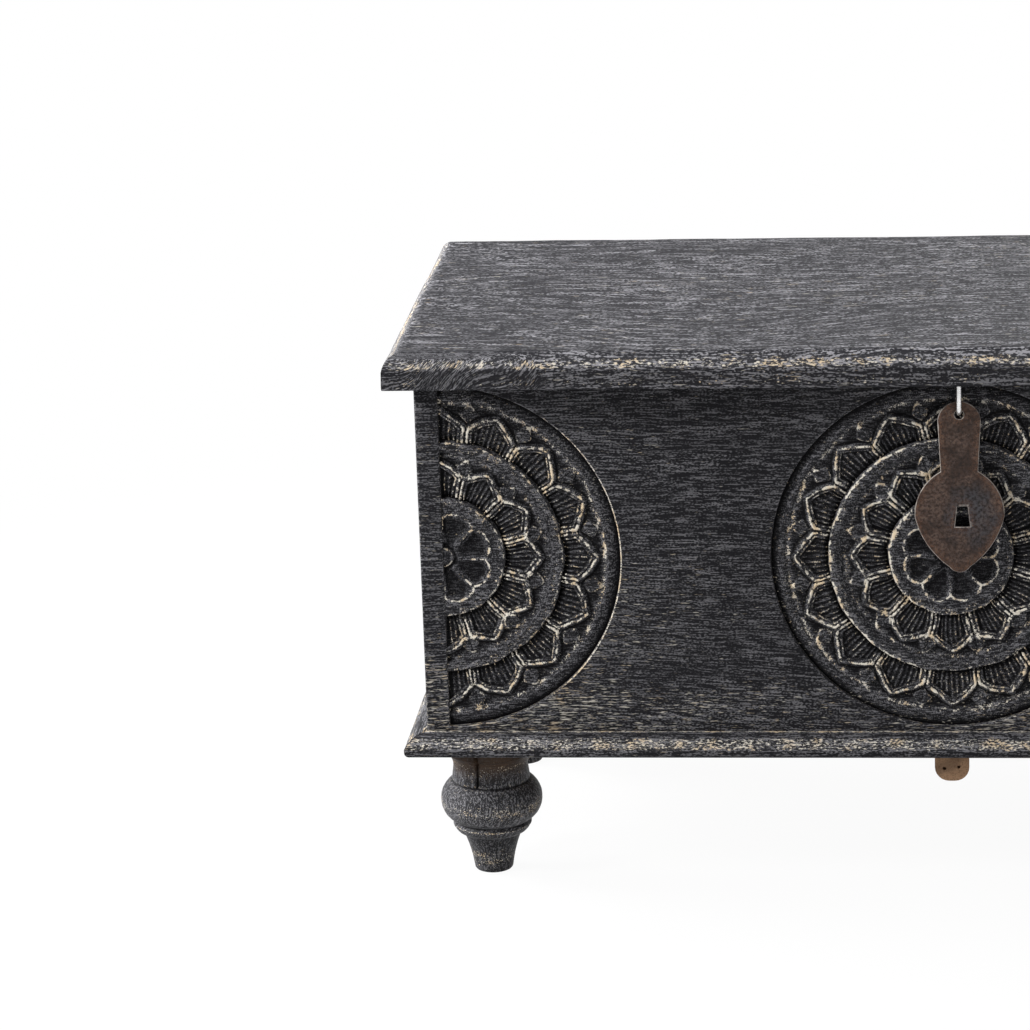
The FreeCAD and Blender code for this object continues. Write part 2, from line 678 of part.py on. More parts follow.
rail_bored = cut("rail_notched", rail, fuse("rail_cut_set", rail_cuts))
keep(cut("rail_finished", rail_bored, group("rail_screw_holes", [rail_screws, rail_leaf_screws])), "hinge_rail")
keep(cut("back_board_bored", back, group("back_board_holes", [rail_screws, floor_nails])), "back_board")

# Base moulding: one profile, padded along the front and the right end, mitred at the front corners.
nose = [
    ("0", "0"),
    ("moulding_reach * 0.7", "0", "moulding_reach * 0.93", "moulding_nose * 0.3"),
    ("moulding_reach", "moulding_nose", "moulding_reach * 0.72", "moulding_height * 0.78"),
    ("moulding_reach * 0.06", "moulding_height"),
    ("0", "moulding_height"),
]
mirrored_nose = [
    (f"- ( {point[0]} )", point[1]) + ((f"- ( {point[2]} )", point[3]) if len(point) > 2 else ())
    for point in nose
]
CORNER = f"( {END} + moulding_reach )"

base_front = new_body("front_moulding_body")
put(base_front, "0", FRONT, "foot_height")
pad(base_front, draw(new_sketch(base_front, "front_nose", "YZ_Plane"), mirrored_nose),
    f"2 * {CORNER}", both=True)
mitres = new_sketch(base_front, "front_mitres", "XY_Plane")
for sign in ("", "- "):
    draw(mitres, [
        (f"{sign}{END}", "0"),
        (f"{sign}( {CORNER} + 1 )", "- moulding_reach - 1"),
        (f"{sign}( {CORNER} + 1 )", "0"),
    ])
pocket(base_front, mitres, backward=True)
keep(base_front, "front_base_moulding")

base_right = new_body("right_moulding_body")
put(base_right, END, BACK, "foot_height")
pad(base_right, draw(new_sketch(base_right, "right_nose", "XZ_Plane"), nose), "body_depth + moulding_reach")
mitre = draw(new_sketch(base_right, "right_mitre", "XY_Plane"), [
    ("0", "- body_depth"),
    ("moulding_reach + 1", "- body_depth - moulding_reach - 1"),
    ("0", "- body_depth - moulding_reach - 1"),
])
pocket(base_right, mitre, backward=True)
keep(base_right, "right_base_moulding")
keep(mirrored("left_moulding", base_right), "left_base_moulding")

# Turned feet: one profile from the flat sole to the tenon.
FOOT_X = f"( {END} - foot_inset )"
profile = [
    ("0", "0"),
    ("sole_radius", "0", "toe_radius - 0.7", "toe_height * 0.35"),
    ("toe_radius", "toe_height", "( toe_radius + shank_radius ) / 2 - 1.2", "( toe_height + shank_height ) / 2"),
    ("shank_radius", "shank_height", "( shank_radius + lip_radius ) / 2 + 1.6", "( shank_height + lip_height ) / 2 - 1.6"),
    ("lip_radius", "lip_height - 2", "lip_radius + 1", "lip_height"),
    ("lip_radius", "lip_height + 2"),
    ("lip_radius - 0.8", "lip_height + 3.5", "bulge_radius", "bulge_height"),
    ("ring_radius + 2.5", "ring_height - 1.5"),
    ("ring_radius", "ring_height"),
    ("neck_radius + 1.6", "ring_height + 1.5"),
    ("neck_radius", "neck_height", "( neck_radius + collar_radius ) / 2 - 1.6", "( neck_height + collar_height ) / 2 + 1.6"),
    ("collar_radius", "collar_height"),
    ("collar_radius", "foot_height"),
    ("tenon_radius", "foot_height"),
    ("tenon_radius", "foot_height + floor_thickness"),
    ("0", "foot_height + floor_thickness"),
]
tenon_holes = {"front": [], "back": []}
for row_name, y in (("front", f"{FRONT} + foot_inset"), ("back", f"{BACK} - foot_inset")):
    for side, x in (("left", f"- {FOOT_X}"), ("right", FOOT_X)):
        foot = new_body(f"{row_name}_{side}_foot_body")
        put(foot, x, y, "0")
        turned = draw(new_sketch(foot, f"{row_name}_{side}_profile", "XZ_Plane"), profile)
        spun = foot.newObject("PartDesign::Revolution", f"{row_name}_{side}_turning")
        spun.Profile = turned
        spun.ReferenceAxis = (turned, ["V_Axis"])
        spun.Angle = 360
        keep(foot, f"{row_name}_{side}_foot")
        tenon_holes[row_name].append(rod(f"{row_name}_{side}_hole", "tenon_radius + tenon_clearance",
                                         "3 * floor_thickness", x, y, "foot_height - floor_thickness"))

# Floor planks, and the batten that ties them.
batten_places = [("0", f"{MIDDLE} + body_depth * {share}", "foot_height - batten_drop")
                 for share in (-0.4, -0.1, 0.1, 0.4)]
batten_nails = keep(fasteners("batten_nail_set", "nail_head_radius", "nail_head_height", "nail_radius",
                              "batten_nail_length", batten_places, Vector(0, 0, 1), False), "floor_batten_nails")

for number, name in enumerate(("front", "middle", "back")):
    plank = box(f"{name}_plank", f"- {END}", f"{FRONT} + body_depth / 3 * {number}", "foot_height",
                "body_width", "body_depth / 3", "floor_thickness")
    holes = group(f"{name}_plank_holes", [floor_nails, batten_nails] + tenon_holes.get(name, []))
    keep(cut(f"{name}_plank_bored", plank, holes), f"{name}_floor_plank")

batten = new_body("batten_body")
put(batten, "0", FRONT, "foot_height")
half = "( batten_width / 2 )"
straight = "( batten_drop - batten_round )"
round_x = f"( {half} * 0.76 )"
round_z = f"( {straight} + batten_round * 0.7 )"
batten_section = draw(new_sketch(batten, "batten_section", "XZ_Plane"), [
    (f"- {half}", "0"),
    (f"- {half}", f"- {straight}", f"- {round_x}", f"- {round_z}"),
    ("0", "- batten_drop", round_x, f"- {round_z}"),
    (half, f"- {straight}"),
    (half, "0"),
])
pad(batten, batten_section, "body_depth", backward=True)
keep(cut("batten_bored", batten, batten_nails), "floor_batten")

# Lid: one rounded blank sawn into three planks, with two cleats inside.
blank = new_body("lid_blank")
put(blank, "0", LID_FRONT, RIM)
lid_plan = rectangle(new_sketch(blank, "lid_plan", "XY_Plane"), f"- {LID_END}", "0", LID_END,
                     f"{LID_BACK} - {LID_FRONT}")
slab = pad(blank, lid_plan, "lid_thickness")
lid_top = value("lid_thickness")
lid_depth = value(f"{LID_BACK} - {LID_FRONT}")
softened = round_edges(blank, slab, "lid_top_round", lambda b: b.ZMin > lid_top - 0.01)
round_edges(blank, softened, "lid_lower_round", lambda b: b.ZMax < 0.01 and b.YMin < lid_depth - 0.01)

cleat_inner = f"( {FRONT} + front_thickness + cleat_clearance )"
cleat_outer = f"( {BACK} - back_thickness - cleat_clearance )"
cleat_places = [(f"{sign} {CLEAT_X}", f"{cleat_inner} + ( {cleat_outer} - {cleat_inner} ) * {share}",
                 f"{RIM} - cleat_thickness")
                for sign in ("-", "") for share in (0.12, 0.5, 0.88)]
cleat_screws = keep(fasteners("cleat_screw_set", "screw_head_radius", "screw_head_height", "screw_radius",
                              "cleat_screw_length", cleat_places, Vector(0, 0, 1), True), "lid_cleat_screws")
for side, sign in (("left", "-"), ("right", "")):
    cleat = box(f"{side}_cleat", f"{sign} {CLEAT_X} - cleat_width / 2", cleat_inner, f"{RIM} - cleat_thickness",
                "cleat_width", f"{cleat_outer} - {cleat_inner}", "cleat_thickness")
    keep(cut(f"{side}_cleat_bored", cleat, cleat_screws), f"{side}_lid_cleat")

# The hasp's staple: a wire loop driven up into the lid.
staple = new_body("hasp_staple_body")
put(staple, "hasp_place", HASP_Y, HASP_Z)
leg_top = "( staple_drop + staple_bite )"
staple_path = draw(new_sketch(staple, "staple_path", "YZ_Plane"), [
    ("- staple_bend", leg_top),
    ("- staple_bend", "0", "0", "- staple_bend"),
    ("staple_bend", "0"),
    ("staple_bend", leg_top),
], closed=False)
staple_section = circle(new_sketch(staple, "staple_section", "XY_Plane", out=leg_top), "wire_radius", y="- staple_bend")
doc.recompute()
pipe(staple, staple_section, staple_path)
keep(staple, "hasp_staple")

plank_spans = {
    "front": (LID_FRONT, "lid_plank_width"),
    "middle": (f"{LID_FRONT} + lid_plank_width", f"{LID_BACK} - {LID_FRONT} - 2 * lid_plank_width"),
    "back": (f"{LID_BACK} - lid_plank_width", "lid_plank_width"),
}
lid_holes = {
    "front": [staple, cleat_screws],
    "middle": [cleat_screws],
    "back": lid_cuts + [cleat_screws, lid_leaf_screws],
}
for name, (start, width) in plank_spans.items():
    saw = box(f"lid_{name}_saw", f"- {LID_END}", start, RIM, f"2 * {LID_END}", width, "lid_thickness")
    plank = common(f"lid_{name}_sawn", blank, saw)
    tool = group(f"lid_{name}_holes", lid_holes[name]) if name != "back" else fuse("lid_back_cuts", lid_cuts)
    bored = cut(f"lid_{name}_bored", plank, tool)
    if name == "back":
        bored = cut("lid_back_screwed", bored, group("lid_back_screws", [cleat_screws, lid_leaf_screws]))
    keep(bored, f"lid_{name}_plank")

# Hasp plate: a round head on a shank that opens into a pointed disc, with an eye and one slot.
hasp = new_body("hasp_body")
put(hasp, "hasp_place", f"{HASP_Y} + hasp_thickness / 2", HASP_Z)
crown = f"( {EYE_TOP} - staple_clearance )"
head = "( hasp_head_width / 2 )"
neck = "( hasp_neck_width / 2 )"
disc = "( hasp_disc_width / 2 )"
hasp_outline = new_sketch(hasp, "hasp_outline", "XZ_Plane")
draw(hasp_outline, [
    (f"- {head}", f"{crown} - hasp_head_drop", "0", crown),
    (head, f"{crown} - hasp_head_drop"),
    (neck, f"{crown} - hasp_neck_drop", f"{disc} * 0.83", f"{crown} - hasp_neck_drop * 0.62 - hasp_disc_drop * 0.38"),
    (disc, f"{crown} - hasp_disc_drop", f"{disc} * 0.79", f"{crown} - hasp_disc_drop * 0.58 - hasp_length * 0.42"),
    ("9", f"{crown} - hasp_length + 5", "0", f"{crown} - hasp_length"),
    ("- 9", f"{crown} - hasp_length + 5", f"- {disc} * 0.79", f"{crown} - hasp_disc_drop * 0.58 - hasp_length * 0.42"),
    (f"- {disc}", f"{crown} - hasp_disc_drop", f"- {disc} * 0.83",
     f"{crown} - hasp_neck_drop * 0.62 - hasp_disc_drop * 0.38"),
    (f"- {neck}", f"{crown} - hasp_neck_drop"),
])
pad(hasp, hasp_outline, "hasp_thickness")
openings = new_sketch(hasp, "hasp_openings", "XZ_Plane")
circle(openings, "hasp_eye_radius", y=f"- {EYE_TOP} - hasp_eye_radius")
slot_low = f"( {crown} - hasp_disc_drop - slot_length / 2 )"
draw(openings, [
    ("slot_place - slot_foot_width / 2", slot_low),
    ("slot_place + slot_foot_width / 2", slot_low),
    ("slot_place + slot_width / 2", f"{slot_low} + slot_length"),
    ("slot_place - slot_width / 2", f"{slot_low} + slot_length"),
])
pocket(hasp, openings, both=True)
keep(hasp, "hasp_plate")

doc.recompute()

# Nothing is written unless every object is sound.
faults = [f"{o.Name}: {o.State}" for o in doc.Objects if "Invalid" in o.State or "Error" in o.State]
for sub_part in kept:
    shape = sub_part.Shape
    if shape.isNull() or not shape.isValid() or not shape.Solids:
        faults.append(f"{sub_part.Label}: shape not sound")
if faults:
    raise RuntimeError("; ".join(faults))

os.makedirs("parts", exist_ok=True)
for sub_part in kept:
    sub_part.Shape.exportStep(f"parts/{sub_part.Label}.step")
print(f"{len(kept)} sub-parts written")
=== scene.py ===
"""Looks for a low carved chest: black brushed wood, a rosette front, turned feet and an iron hasp."""

import math

import bmesh
import bpy
import numpy as np
from mathutils import Matrix, Vector


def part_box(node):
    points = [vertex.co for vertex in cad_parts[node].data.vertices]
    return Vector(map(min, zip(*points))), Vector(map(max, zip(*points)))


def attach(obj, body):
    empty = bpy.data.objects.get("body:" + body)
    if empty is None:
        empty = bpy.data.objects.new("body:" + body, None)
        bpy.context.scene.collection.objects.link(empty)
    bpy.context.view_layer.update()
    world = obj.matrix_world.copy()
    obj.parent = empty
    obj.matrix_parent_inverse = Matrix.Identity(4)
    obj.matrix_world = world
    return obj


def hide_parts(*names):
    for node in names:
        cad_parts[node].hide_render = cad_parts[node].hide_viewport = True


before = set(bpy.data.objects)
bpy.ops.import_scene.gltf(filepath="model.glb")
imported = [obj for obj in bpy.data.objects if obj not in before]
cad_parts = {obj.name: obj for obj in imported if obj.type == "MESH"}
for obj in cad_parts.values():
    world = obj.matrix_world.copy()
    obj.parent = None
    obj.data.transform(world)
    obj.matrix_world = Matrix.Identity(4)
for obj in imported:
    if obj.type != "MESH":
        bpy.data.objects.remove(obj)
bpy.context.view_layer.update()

bl_info = {
    "name": "Carved chest",
    "version": (1, 0, 0),
    "blender": (4, 5, 0),
    "location": "3D View > Sidebar > Chest",
    "description": "Builds the carved front, lid, mouldings, feet and ironwork of a low chest on its frame",
    "category": "Object",
}

MM = 1000  # millimetres in a metre
NEAR = 0.00001  # places closer than this are the same
WELD = 0.00003  # points closer than this become one
PAST = 0.01  # how far a cutter reaches past a face
QUARTER = math.radians(90)
FULL_TURN = 6.2832

FRONT_LOW, FRONT_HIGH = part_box("front_board")
FRONT = FRONT_LOW.y
END_BOARDS = ("left_end_board", "right_end_board")
LID_PLANKS = ("lid_front_plank", "lid_middle_plank", "lid_back_plank")
FEET = ("front_left_foot", "front_right_foot", "back_left_foot", "back_right_foot")

# Name, place, aim, size and power of each lamp, and whether glossy surfaces mirror it
LAMPS = (
    ("key_lamp", (-3.5, -1.8, 2.5), (0, 0, 0.3), 0.9, 230, True),
    ("side_lamp", (-2.8, 0.5, 1.2), (-0.4, 0, 0.2), 1.0, 165, False),
    ("right_lamp", (2.9, 0.9, 1.2), (0.4, 0, 0.25), 1.2, 50, False),
    ("top_lamp", (-0.7, 0.2, 3.5), (0, 0, 0.5), 2.2, 55, True),
    ("fill_lamp", (2.0, -3.6, 1.8), (0, 0, 0.3), 2.4, 30, True),
    ("back_lamp", (1.0, 3.2, 2.2), (0, 0, 0.4), 2.4, 40, True),
)
ROOM_LIGHT = 0.30  # light from the white surroundings, which show at full strength
CAMERA_PLACE = (0.01976, -3.94506, 1.46341)
CAMERA_TURN, CAMERA_DROP, CAMERA_ROLL = 6.2187, 16.3637, -2.0283  # degrees
CAMERA_SENSOR, CAMERA_LENS = 36, 153.163  # millimetres

# Level of the rosettes' middles in metres, and radii of their rims and petal fields in millimetres
ROSETTE_Z = 0.316
FLOWER_RIM, MIDDLE_RIM, FIELD_EDGE = (46, 56), (98, 109), 148
FLOWER_PETALS, MIDDLE_PETALS, OUTER_PETALS = 8, 12, 16
PETAL_POINT = 1.12  # 1 makes a straight pointed petal, 2 a round one

# Profile of the base moulding: reach and rise in millimetres
NOSE = [
    (0, 0), (14, 0), (15.9, 0.6), (17.6, 1.7), (18.9, 3.2), (19.7, 5), (19.95, 7), (19.9, 9), (18.7, 11.3),
    (17.2, 13.4), (15.5, 15.3), (13.5, 17), (11.3, 18.4), (8.9, 19.5), (6.4, 20.3), (3.8, 20.8), (1.2, 21),
    (0, 21),
]

# Profile of a turned foot from sole to tenon: radius and level in millimetres
FOOT = [
    (15, 0), (16.6, 0.7), (17.7, 2.2), (18, 4), (18.9, 9.6), (20, 15.2), (21.4, 20.8), (23, 26.3),
    (24.9, 31.7), (27, 36.9), (29.7, 37.9), (32.2, 39.4), (34.1, 41.5), (35.4, 44), (36.2, 44.9), (36.4, 46),
    (36.2, 47.1), (35.4, 48), (34.6, 49.5), (37.9, 51.5), (40.7, 54), (43.2, 56.9), (45, 60.2), (46.3, 63.7),
    (46.9, 67.4), (46.95, 71.2), (46.5, 75), (45.3, 78.6), (43.5, 81.9), (41.2, 84.9), (38.9, 87.1),
    (37.6, 87.9), (36, 89), (36.1, 90.5), (35.6, 94), (35, 98.5), (34.5, 103), (34.7, 106.3), (35.6, 109.5),
    (37.1, 112.5), (39.3, 115), (41.9, 117), (42, 124), (42, 131), (13, 131), (13, 149),
]

# Wear on a foot: its share, its level and its reach in millimetres
FOOT_WEAR = (
    (0.7, 46, 1.6), (0.5, 87.4, 0.9), (0.5, 90.8, 0.9), (0.68, 68, 14), (0.7, 14, 18), (0.65, 106, 12),
)


# Settings

def length(title, text, default):
    return bpy.props.FloatProperty(
        name=title, description=text, default=default, min=0.0, unit="LENGTH", precision=5)


def colour(title, text, default):
    return bpy.props.FloatVectorProperty(
        name=title, description=text, default=default, size=3, min=0.0, max=1.0, subtype="COLOR")


class ChestSizes(bpy.types.PropertyGroup):
    """Lengths of the shaped pieces"""
    lid_round: length("Lid round", "Round on the lid's upper edges", 0.016)
    lid_lower_round: length("Lid lower round", "Round on the lid's lower edges", 0.006)
    lid_wear: length("Lid wear", "Depth of the hollows worn in the lid", 0.0012)
    board_edge: length("Board edge", "Soft edge of the boards", 0.0018)
    pocket: length("Rosette pocket", "Depth of the rosette pieces in the front board", 0.008)
    rosette: length("Rosette radius", "Outer groove of a rosette", 0.160)
    rosette_step: length("Rosette step", "Middle of the front to the end rosettes", 0.455)
    carving_sway: length("Carving sway", "How far the carver's hand strays", 0.0021)
    batten_round: length("Batten round", "Round under the floor batten", 0.013)
    plate_edge: length("Plate edge", "Soft edge of the hasp plate", 0.0006)


class ChestColours(bpy.types.PropertyGroup):
    """Colours of the finishes"""
    black: colour("Black", "Stain in the wood", (0.0105, 0.0105, 0.0120))
    wash: colour("Wash", "Grey that the brush left on the grain", (0.132, 0.130, 0.139))
    cream: colour("Cream", "Pale paint on worn edges", (0.53, 0.495, 0.43))
    gold: colour("Gold", "Yellowed paint on worn edges", (0.495, 0.395, 0.27))
    bare: colour("Bare wood", "Wood that was never stained", (0.20, 0.118, 0.066))
    bare_dark: colour("Bare wood, dark", "Grain of the unstained wood", (0.075, 0.042, 0.024))
    rust: colour("Rust", "Brown skin of the hasp", (0.037, 0.025, 0.020))
    rust_bright: colour("Bright rust", "Orange rust near the edges", (0.118, 0.055, 0.029))
    scale: colour("Forge scale", "Blue grey of the hasp's middle", (0.052, 0.052, 0.058))
    iron: colour("Iron", "Hinges, handles and nails", (0.060, 0.050, 0.044))
    wire: colour("Bright wire", "Staples of the hasp and handles", (0.80, 0.80, 0.79))
    floor: colour("Floor", "Floor and backdrop", (0.55, 0.55, 0.55))


# Modelling

def only(*objects):
    """Select just these objects, the last one active."""
    bpy.ops.object.select_all(action="DESELECT")
    for item in objects:
        item.select_set(True)
    bpy.context.view_layer.objects.active = objects[-1]


def settle(name, piece=None):
    """Name a piece, or else the one just made, and put its place into its mesh."""
    piece = piece or bpy.context.object
    piece.name = piece.data.name = name
    only(piece)
    bpy.ops.object.transform_apply(location=True, rotation=True, scale=True)
    return piece


def block(name, low, high):
    low, high = Vector(low), Vector(high)
    bpy.ops.mesh.primitive_cube_add(size=1, location=(low + high) / 2)
    bpy.context.object.scale = high - low
    return settle(name)


def rod(name, radius, start, end, sides=128):
    start, end = Vector(start), Vector(end)
    bpy.ops.mesh.primitive_cylinder_add(
        vertices=sides, radius=radius, depth=(end - start).length, location=(start + end) / 2)
    bpy.context.object.rotation_euler = (end - start).to_track_quat("Z", "Y").to_euler()
    return settle(name)


def edit(piece, kind, test=None):
    """Open a piece in edit mode with the elements selected that pass the test, or all of them."""
    only(piece)
    bpy.ops.object.mode_set(mode="EDIT")
    bpy.ops.mesh.select_mode(type=kind)
    bpy.ops.mesh.select_all(action="DESELECT")
    mesh = bmesh.from_edit_mesh(piece.data)
    for element in {"VERT": mesh.verts, "EDGE": mesh.edges, "FACE": mesh.faces}[kind]:
        if test is None or test(element):
            element.select_set(True)
    mesh.select_flush_mode()
    bmesh.update_edit_mesh(piece.data)


def close(piece):
    bpy.ops.object.mode_set(mode="OBJECT")
    return piece


def face_outwards(piece):
    """Turn all faces of a piece that is open in edit mode outwards, and close it."""
    bpy.ops.mesh.select_all(action="SELECT")
    bpy.ops.mesh.normals_make_consistent(inside=False)
    return close(piece)


def round_edges(piece, test, radius, segments):
    edit(piece, "EDGE", test)
    bpy.ops.mesh.bevel(offset=radius, segments=segments, profile=0.5, affect="EDGES", clamp_overlap=True)
    return close(piece)


def slice_at(piece, place, normal, keep="both"):
    """Cut all faces on a plane, and drop the half behind it or before it if asked."""
    edit(piece, "FACE")
    bpy.ops.mesh.bisect(
        plane_co=place, plane_no=normal, use_fill=keep != "both", clear_inner=keep == "front",
        clear_outer=keep == "back")
    return close(piece)


def slices(piece, axis, start, end, count):
    for step in range(1, count):
        place, normal = [0, 0, 0], [0, 0, 0]
        place[axis] = start + (end - start) * step / count
        normal[axis] = 1
        slice_at(piece, place, normal)
    return piece


def modify(piece, kind, **settings):
    """Give a piece a modifier and apply it."""
    modifier = piece.modifiers.new(kind, kind)
    for name, setting in settings.items():
        setattr(modifier, name, setting)
    only(piece)
    bpy.ops.object.modifier_apply(modifier=modifier.name)
    return piece


def carve(piece, *cutters):
    """Cut other pieces out of a piece."""
    for cutter in cutters:
        modify(piece, "BOOLEAN", operation="DIFFERENCE", solver="EXACT", object=cutter)
        bpy.data.meshes.remove(cutter.data)
    return piece


def soften(piece, radius, segments=2, angle=50):
    limit = math.radians(angle)
    return modify(piece, "BEVEL", width=radius, segments=segments, limit_method="ANGLE", angle_limit=limit)


def twin(piece, name, turn=Matrix.Identity(4)):
    """A copy of a piece with its own mesh, moved by a matrix."""
    only(piece)
    bpy.ops.object.duplicate(linked=False)
    copy = bpy.context.object
    copy.name = copy.data.name = name
    copy.data.transform(turn)
    return copy


def spots(piece):
    """Vertex places and normals of a piece as arrays."""
    count = len(piece.data.vertices)
    place, normal = np.zeros(count * 3), np.zeros(count * 3)
    piece.data.vertices.foreach_get("co", place)
    piece.data.vertices.foreach_get("normal", normal)
    return place.reshape(-1, 3), normal.reshape(-1, 3)


def move_spots(piece, place):
    piece.data.vertices.foreach_set("co", np.ascontiguousarray(place).ravel())
    piece.data.update()


def mark(piece, name, values):
    """Keep a number for each vertex that the finish can read."""
    layer = piece.data.attributes.get(name) or piece.data.attributes.new(name, "FLOAT", "POINT")
    layer.data.foreach_set("value", np.clip(values, 0, 1).astype(np.float32))
    return piece


def marked(piece, name):
    """The numbers that mark kept."""
    values = np.zeros(len(piece.data.vertices), np.float32)
    piece.data.attributes[name].data.foreach_get("value", values)
    return values


def mark_edges(piece, amount):
    """Mark the middle of the soft edges round a board's front and back, and none of its flat faces."""
    worn = np.zeros(len(piece.data.vertices)) + amount
    for face in piece.data.polygons:
        if not 0.001 < abs(face.normal.y) < 0.999:
            worn[list(face.vertices)] = 0
    return mark(piece, "worn", worn)


def stray(piece, name, weights, least, grain, cloud_type, **settings):
    """Shift a piece's points by cloudy noise, as far as their weights say."""
    group = piece.vertex_groups.new(name=name)
    for index in np.nonzero(weights > least)[0]:
        group.add([int(index)], float(weights[index]), "REPLACE")
    texture = bpy.data.textures.new(name, "CLOUDS")
    texture.cloud_type = cloud_type
    texture.noise_scale = grain
    texture.noise_depth = 2
    return modify(
        piece, "DISPLACE", texture=texture, texture_coords="LOCAL", vertex_group=group.name, **settings)


def wear_down(piece, name, depth, grain, weights):
    """Press uneven hollows into a piece, never outwards."""
    return stray(
        piece, name, weights, 0.01, grain, "GRAYSCALE", direction="NORMAL", mid_level=1.0, strength=depth)


def ease(low, high, value):
    """Smooth step from 0 at low to 1 at high."""
    share = np.clip((value - low) / (high - low), 0, 1)
    return share * share * (3 - 2 * share)


def hill(value, width):
    return np.exp(-(value / width) ** 2)


def hand_over(piece, material, node, body="carcass", angle=40):
    """Finish a piece: smooth faces, its material, and its place on the frame."""
    only(piece)
    bpy.ops.object.shade_smooth_by_angle(angle=math.radians(angle))
    piece.data.materials.clear()
    piece.data.materials.append(material)
    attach(piece, body)
    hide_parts(node)


def finish_nodes(material, *names):
    """Give CAD nodes that show as they are their finish."""
    for name in names:
        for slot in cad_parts[name].material_slots:
            slot.material = material


# Materials

class Nodes:
    """A node tree with short calls for the nodes used here."""

    def __init__(self, tree):
        self.tree = tree

    def join(self, source, socket):
        if isinstance(source, bpy.types.NodeSocket):
            self.tree.links.new(source, socket)
        else:
            socket.default_value = source

    def fill(self, sockets, sources):
        for name, source in sources.items():
            self.join(source, sockets[name])

    def add(self, kind, inputs=None, **settings):
        node = self.tree.nodes.new(kind)
        for name, setting in settings.items():
            setattr(node, name, setting)
        self.fill(node.inputs, inputs or {})
        return node

    def sum(self, operation, *values, clamp=False):
        inputs = dict(enumerate(values))
        return self.add("ShaderNodeMath", inputs, operation=operation, use_clamp=clamp).outputs[0]

    def fold(self, operation, total, *values):
        """One result for any number of values."""
        for value in values:
            total = self.sum(operation, total, value)
        return total

    def plus(self, *values):
        return self.fold("ADD", *values)

    def times(self, *values):
        return self.fold("MULTIPLY", *values)

    def most(self, *values):
        return self.fold("MAXIMUM", *values)

    def vector(self, operation, first, second=None):
        node = self.add("ShaderNodeVectorMath", {0: first}, operation=operation)
        if second is not None:
            self.join(second, node.inputs["Scale" if operation == "SCALE" else 1])
        return node.outputs["Value" if operation in {"LENGTH", "DISTANCE"} else 0]

    def split(self, vector):
        return self.add("ShaderNodeSeparateXYZ", {"Vector": vector}).outputs

    def noise(self, place, scale, detail=2.0, roughness=0.5, output="Fac"):
        """Noise with one frequency per metre, or with one for each axis."""
        if isinstance(scale, tuple):
            place, scale = self.vector("MULTIPLY", place, scale), 1.0
        inputs = {"Vector": place, "Scale": scale, "Detail": detail, "Roughness": roughness}
        return self.add("ShaderNodeTexNoise", inputs).outputs[output]

    def step(self, source, low, high, start=0.0, end=1.0):
        inputs = {"Value": source, "From Min": low, "From Max": high, "To Min": start, "To Max": end}
        return self.add("ShaderNodeMapRange", inputs, interpolation_type="SMOOTHSTEP").outputs[0]

    def mix(self, share, first, second):
        node = self.add("ShaderNodeMix", data_type="RGBA")
        self.join(share, node.inputs[0])
        for number, source in ((6, first), (7, second)):
            linked = isinstance(source, bpy.types.NodeSocket)
            self.join(source if linked else (*source, 1.0), node.inputs[number])
        return node.outputs[2]

    def bump(self, height, strength, distance):
        inputs = {"Height": height, "Strength": strength, "Distance": distance}
        return self.add("ShaderNodeBump", inputs).outputs[0]

    def mark(self, name):
        return self.add("ShaderNodeAttribute", attribute_type="GEOMETRY", attribute_name=name).outputs["Fac"]

    def group(self, name, inputs):
        return self.add("ShaderNodeGroup", inputs, node_tree=bpy.data.node_groups[name]).outputs

    def open_grain(self, place, shift, turn, stretch, swirl, rings):
        """Where the grain runs, and the grain there."""
        inputs = {"Vector": place, "Location": shift, "Rotation": turn, "Scale": stretch}
        along = self.add("ShaderNodeMapping", inputs).outputs[0]
        return along, self.group("open_grain", {"Vector": along, "Swirl": swirl, "Rings": rings})

    def backdrop_rays(self):
        """1 for rays that show the white surroundings."""
        path = self.add("ShaderNodeLightPath").outputs
        return self.most(path["Is Camera Ray"], path["Is Glossy Ray"], path["Is Transmission Ray"])


def new_group(name, inputs, outputs):
    """An empty shader group, ready to be filled: Vector is a vector and the other sockets are numbers."""
    tree = bpy.data.node_groups.new(name, "ShaderNodeTree")
    for titles, way in ((inputs, "INPUT"), (outputs, "OUTPUT")):
        for title in titles:
            kind = "NodeSocketVector" if title == "Vector" else "NodeSocketFloat"
            tree.interface.new_socket(name=title, in_out=way, socket_type=kind)
    nodes = Nodes(tree)
    return nodes, nodes.add("NodeGroupInput").outputs, nodes.add("NodeGroupOutput").inputs


